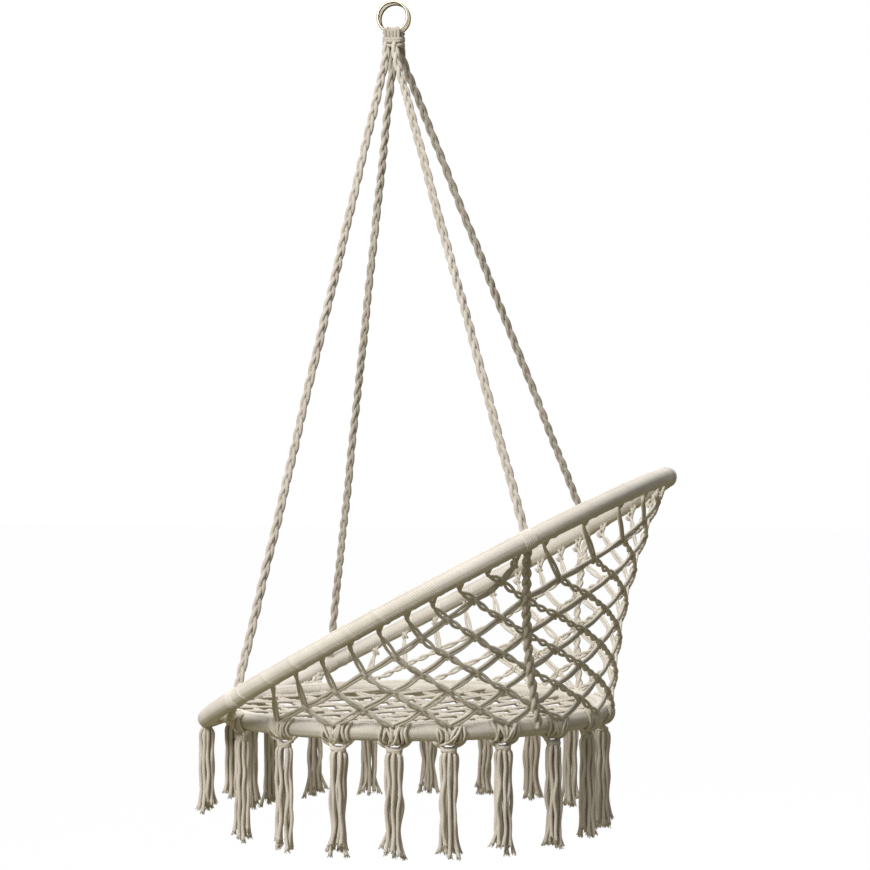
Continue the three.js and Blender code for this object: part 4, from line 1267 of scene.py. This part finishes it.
@dataclass
class Tassel:
    """A tassel: the cords that wrap the hoop, the swag below and the hanging cords.

    Those at the front have no wrap, and the one on the rim hangs from it without a swag.
    """

    index: int
    length: float = 0.145
    short_length: float = 0.110
    rim_length: float = 0.128
    rim_place: float = 20.0
    front_half_angle: float = 30.0
    front_inset: float = 0.007
    cord: float = 0.0050
    outer_cords: int = 8
    inner_cords: int = 3
    threads: int = 12
    short_step: float = 0.0014
    skirt_step: float = 0.0026
    skirt_bend: float = 0.0014
    skirt_half: tuple[float, float] = (0.0110, 0.0094)
    inner_share: float = 0.4
    outer_shares: tuple[float, float] = (0.88, 1.06)
    drop_shares: tuple[float, float] = (0.88, 1.0)
    splays: tuple[float, float] = (0.9, 1.35)
    wide_splays: tuple[float, float] = (1.3, 1.6)
    collar_turns: float = 1.3
    collar_half: tuple[float, float] = (0.0090, 0.0068)
    swag_cord: float = 0.0056
    swag_half: float = 0.026
    swag_depth: float = 0.014
    wrap_cord: float = 0.0042
    wrap_starts: tuple[float, ...] = (0.0196, 0.0150, 0.0112, 0.0170, 0.0076, 0.0030, 0.0130)
    wrap_ends: tuple[float, ...] = (0.0142, 0.0096, -0.0060, -0.0130, -0.0100, 0.0046, -0.0020)
    wrap_lifts: tuple[float, ...] = (0.0004, 0.0010, 0.0030, 0.0042, 0.0022, 0.0010, 0.0036)

    def __post_init__(self) -> None:
        """Finds where the tassel hangs and the level directions there."""
        self.mesh = CordMesh(f"tassel_cords_{self.index + 1:02d}", 100 + self.index)
        angle = TASSEL_ANGLES[self.index]
        self.on_rim = self.index == 1
        self.front = abs((angle + 180) % 360 - 180) < self.front_half_angle
        self.origin = LAYOUT.seat.point(angle)
        if self.on_rim:
            self.origin = LAYOUT.rim.point(self.rim_place)
            tangent = LAYOUT.rim.tangent(self.rim_place)
            angle = math.degrees(math.atan2(tangent[0], -tangent[1]))
        self.along, self.outward = LAYOUT.seat.tangent(angle), LAYOUT.seat.outward(angle)

    def at(self, along: float, out: float, height: float) -> Path:
        """A place from the hoop's centreline."""
        return self.origin + self.along * along + self.outward * out + upright(height)

    def build_swag(self, neck: Path, inset: float) -> None:
        """The arms from the neck up to the hoop, and the collar round the neck.

        Args:
            neck: the middle of the neck.
            inset: how far out from the hoop's line the tassel hangs.
        """
        tube, radius, dice = LAYOUT.winding_radius, self.swag_cord / 2, self.mesh.dice
        for side in (-1, 1):
            for k in range(2):
                reach = self.swag_half - radius - 0.0052 * k + dice.uniform(-0.0006, 0.0006)
                points = [
                    self.at(side * reach, inset * 0.6 + 0.001, -tube * 0.84),
                    self.at(side * (reach * 0.8), inset + 0.004 - 0.006 * k, -tube - 0.0030),
                    self.at(side * (reach * 0.45), inset - 0.0012 + 0.005 * k, -tube - 0.0080 - 0.0020 * k),
                    neck + self.along * side * 0.003 + self.outward * (0.003 - 0.006 * k),
                ]
                path = evenly(curve_through(points, 10), self.short_step)
                lump = 1 + 0.07 * np.sin(math.tau * along_of(path) / 0.011 + dice.uniform(0, 6))
                # Painted light: the arms are made a little paler than their neighbours.
                self.mesh.tube(path, radius * lump, 10, painted_shade=-0.05)
        ring, (wide, deep) = np.linspace(0, math.tau * self.collar_turns, 44), self.collar_half
        collar = neck + np.outer(np.cos(ring) * wide, self.along) + np.outer(np.sin(ring) * deep, self.outward)
        collar[:, 2] -= 0.0010 * ring / math.pi
        # Painted shade on the collar that binds the neck.
        self.mesh.tube(evenly(collar, self.short_step), radius * 0.92, 10, painted_shade=0.22)

    def build_wrap(self) -> None:
        """The cords that wrap the hoop above the tassel and cross on its face."""
        radius, dice = self.wrap_cord / 2, self.mesh.dice
        share = np.linspace(0, 1, 26)
        for first, last, lift in zip(self.wrap_starts, self.wrap_ends, self.wrap_lifts):
            for side in (1, -1):
                start = first * side + dice.uniform(-0.0016, 0.0016)
                end = last * side + dice.uniform(-0.0018, 0.0018)
                top = dice.uniform(0.09, 0.21)
                easing = share + 0.14 * np.sin(math.tau * share) * dice.uniform(-1, 1)
                lateral = start + (end - start) * easing + 0.0018 * np.sin(8 * share + dice.uniform(0, 6))
                over = lift + 0.0010 * (side > 0)
                reach = LAYOUT.winding_radius + radius * 0.7 + over * np.sin(math.pi * share) ** 0.7
                turn = math.tau * (top - (top + 0.29) * share)
                path = np.array([self.at(*p) for p in zip(lateral, reach * np.cos(turn), reach * np.sin(turn))])
                # Painted light: the wrapped cords are made paler than their neighbours.
                self.mesh.tube(evenly(path, self.short_step), radius * dice.uniform(0.9, 1.08), painted_shade=-0.1)

    def build_skirt(self, neck: Path, length: float) -> None:
        """The hanging cords with their frayed ends.

        Args:
            neck: the middle of the neck.
            length: the longest cord.
        """
        dice = self.mesh.dice
        begin = dice.random()
        for k in range(self.outer_cords + self.inner_cords):
            inner = k >= self.outer_cords
            count = self.inner_cords if inner else self.outer_cords
            turn = math.tau * (k + begin + dice.uniform(-0.2, 0.2)) / count
            wide = self.inner_share if inner else dice.uniform(*self.outer_shares)
            lateral = self.skirt_half[0] * wide * math.cos(turn)
            depth = self.skirt_half[1] * wide * math.sin(turn)
            splay = dice.uniform(*(self.splays if k % 4 else self.wide_splays))
            drop = length * (dice.uniform(*self.drop_shares) if k else 1.0)
            route = (
                (0.25, -0.002, 0.0), (0.72, 0.0040, 0.0), (1.04, 0.0120, 0.0), (0.92, drop * 0.32, 0.0020),
                (0.98, drop * 0.55, 0.0030), (0.92, drop * 0.8, 0.0030), (splay, drop, 0.0030),
            )
            points = []
            for share, down, stray in route:
                aside = self.along * (lateral * share + dice.uniform(-stray, stray))
                points.append(neck + aside + self.outward * (depth * share) - upright(down))
            path = wandering(evenly(curve_through(points, 12), self.skirt_step), self.skirt_bend, dice)
            run = along_of(path)
            swell = self.cord / 2 * (1 + 0.3 * np.clip((run - run[-1] + 0.009) / 0.009, 0, 1))
            self.mesh.tube(path, swell, 12, painted_shade=0.05)
            self.fray(path)

    def fray(self, path: Path) -> None:
        """The loose threads at a cord's cut end.

        Args:
            path: the cord's centreline.
        """
        end, down, dice = path[-1], unit(path[-1] - path[-4]), self.mesh.dice
        for k in range(self.threads):
            turn = math.tau * (k + dice.random()) / self.threads
            side = unit(np.array([math.cos(turn), math.sin(turn), 0.0]))
            reach = self.cord * dice.uniform(0.2, 0.64)
            tip = end + side * reach * 1.6 + down * dice.uniform(0.001, 0.0046)
            points = [end + side * reach * 0.7 - down * 0.006, end + side * reach - down * 0.001, tip]
            self.mesh.tube(curve_through(points, 2), np.linspace(0.0010, 0.0005, 5), 4)

    def build(self) -> None:
        """The whole tassel, from the hoop down."""
        tube, inset = LAYOUT.winding_radius, -self.front_inset if self.front else 0.0
        if not self.front:
            self.build_wrap()
        if self.on_rim:
            self.build_skirt(self.at(0, 0, -tube + 0.001), self.rim_length - 0.006)
        else:
            neck = self.at(0, inset if self.front else 0.002, -tube - self.swag_depth + 0.0022)
            self.build_swag(neck, inset)
            self.build_skirt(neck, self.short_length if self.index == 0 else self.length)
        self.mesh.build(TASSEL_COTTON, f"tassel_{self.index + 1:02d}", Slot.CORD)


# -------- studio


def seen_directly(desk: NodeDesk) -> bpy.types.NodeSocket:
    """Whether a ray shows the background to the eye, in metal or in glass.

    Args:
        desk: the nodes to add to.

    Returns:
        A socket that gives 1 on such rays and 0 on the rest.
    """
    ray = desk.add("LightPath", {})
    direct = desk.maths("MAXIMUM", ray["Is Camera Ray"], ray["Is Glossy Ray"])
    return desk.maths("MAXIMUM", direct, ray["Is Transmission Ray"])


def turn_to(thing: bpy.types.Object, aim: Path) -> None:
    """Turns a camera or a lamp so that it looks along a direction."""
    thing.rotation_mode = "QUATERNION"
    thing.rotation_quaternion = Vector(aim).to_track_quat("-Z", "Y")


@dataclass(frozen=True)
class FloorFinish(Finish):
    """Ground that keeps the object's shadow and is white to the eye."""

    tone: Colour
    glow: float

    def dress(self, desk: NodeDesk, shader: bpy.types.Node) -> None:
        """Joins the ground's tone and its glow to the surface.

        Args:
            desk: the material's nodes.
            shader: its Principled shader.
        """
        seen = seen_directly(desk)
        tone = desk.mix(seen, self.tone, (0.95, 0.95, 0.95, 1.0))
        desk.fill(shader, {"Base Color": tone, "Roughness": 0.9, "Specular IOR Level": 0.0})
        white = desk.add("Emission", {"Strength": 1.0})[0]
        share = desk.maths("MULTIPLY", seen, self.glow)
        mixed = desk.add("MixShader", {0: share, 1: shader.outputs[0], 2: white})[0]
        desk.fill(desk.tree.nodes["Material Output"], {"Surface": mixed})


@dataclass(frozen=True)
class Lamp:
    """A square soft lamp."""

    name: str
    place: tuple[float, float, float]
    size: float
    power: float
    tint: tuple[float, float, float]

    def build(self, aim: Path) -> None:
        """Hangs the lamp.

        Args:
            aim: the place that it lights.
        """
        lamp = bpy.data.objects.new(self.name, bpy.data.lights.new(self.name, "AREA"))
        bpy.context.scene.collection.objects.link(lamp)
        lamp.data.shape, lamp.data.size, lamp.data.energy = "SQUARE", self.size, self.power
        lamp.data.color = self.tint
        lamp.location = self.place
        turn_to(lamp, aim - np.array(self.place))


@dataclass
class Studio:
    """The camera, lamps, floor and white surroundings."""

    target: tuple[float, float, float] = (0.0636, 0.0, -0.6518)
    azimuth: float = 11.54
    elevation: float = -0.97
    distance: float = 3.0515
    lens: float = 84.1
    sensor: float = 36.0
    floor_height: float = -1.66
    floor_size: float = 60.0
    floor: FloorFinish = FloorFinish("studio_floor", srgb(128, 121, 88), 0.985)
    fill: float = 0.23
    fill_tint: Colour = (0.97, 0.97, 1.0, 1.0)
    lamp_aim: tuple[float, float, float] = (0.0, 0.0, -0.75)
    lamps: tuple[Lamp, ...] = (
        Lamp("key", (-1.2, -2.6, 0.95), 1.3, 103.0, (1.0, 0.98, 0.95)),
        Lamp("back", (1.1, 2.7, 0.9), 1.6, 48.0, (1.0, 0.98, 0.96)),
        Lamp("top", (0.2, 0.3, 2.0), 1.8, 36.0, (1.0, 0.98, 0.95)),
    )

    def build_camera(self) -> None:
        """The photograph's viewpoint."""
        a, e = math.radians(self.azimuth), math.radians(self.elevation)
        back = np.array([math.sin(a) * math.cos(e), -math.cos(a) * math.cos(e), math.sin(e)])
        camera = bpy.data.objects.new("camera", bpy.data.cameras.new("camera"))
        bpy.context.scene.collection.objects.link(camera)
        camera.data.lens, camera.data.sensor_width = self.lens, self.sensor
        camera.location = np.array(self.target) + back * self.distance
        turn_to(camera, -back)
        bpy.context.scene.camera = camera

    def build_floor(self) -> None:
        """A wide floor."""
        bpy.ops.object.select_all(action="DESELECT")
        bpy.ops.mesh.primitive_plane_add(size=self.floor_size, location=(0, 0, self.floor_height))
        floor = bpy.context.object
        floor.name = "studio_floor"
        floor.data.materials.append(self.floor.material())

    def build_world(self) -> None:
        """Pale surroundings that read as white behind the chair."""
        world = bpy.data.worlds.new("studio")
        bpy.context.scene.world = world
        world.use_nodes = True
        desk = NodeDesk(world.node_tree)
        nodes = world.node_tree.nodes
        lit = desk.fill(nodes["Background"], {"Color": self.fill_tint, "Strength": self.fill}).outputs[0]
        white = desk.add("Background", {"Color": (1, 1, 1, 1), "Strength": 1.0})[0]
        mixed = desk.add("MixShader", {0: seen_directly(desk), 1: lit, 2: white})[0]
        desk.fill(nodes["World Output"], {"Surface": mixed})

    def build(self) -> None:
        """Everything round the chair."""
        self.build_camera()
        for lamp in self.lamps:
            lamp.build(np.array(self.lamp_aim))
        self.build_floor()
        self.build_world()
        bpy.context.scene.view_settings.view_transform = "Standard"


def build_windings() -> None:
    """The windings on both hoops, whose stretches meet at the ropes."""
    columns = list(ROPE_COLUMNS.values())
    rim_angles = [LAYOUT.rim_angle(column) for column in columns]
    ridges = tuple(LAYOUT.rim_angle(column + 0.5) for column in range(columns[0], columns[-1]))
    HoopWinding("rim", LAYOUT.rim, rim_angles, cord=0.0034, rib=0.0005, ridges=ridges).build()
    HoopWinding("seat", LAYOUT.seat, [LAYOUT.column_angle(column) for column in columns], seed=9).build()


def main() -> None:
    """Builds the studio and the chair's sub-assemblies in order."""
    logging.basicConfig(level=logging.INFO)
    build_fibre_group()
    build_cotton_group()
    Studio().build()
    for node in ("rim_hoop", "seat_hoop"):
        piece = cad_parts[node]
        piece.data.materials.clear()
        piece.data.materials.append(TUBE_STEEL.material())
    for name, side, finish in (("near", -1, RING_NICKEL), ("far", 1, RING_SHADED)):
        HangingRing(name, side, finish).build()
    for name, column in ROPE_COLUMNS.items():
        Rope(name, column).build()
    build_windings()
    for name, first, last in NET_PANELS:
        NetPanel(name, first, last).build()
    SeatNet().build()
    for index in range(len(TASSEL_ANGLES)):
        Tassel(index).build()


if __name__ == "__main__":
    main()
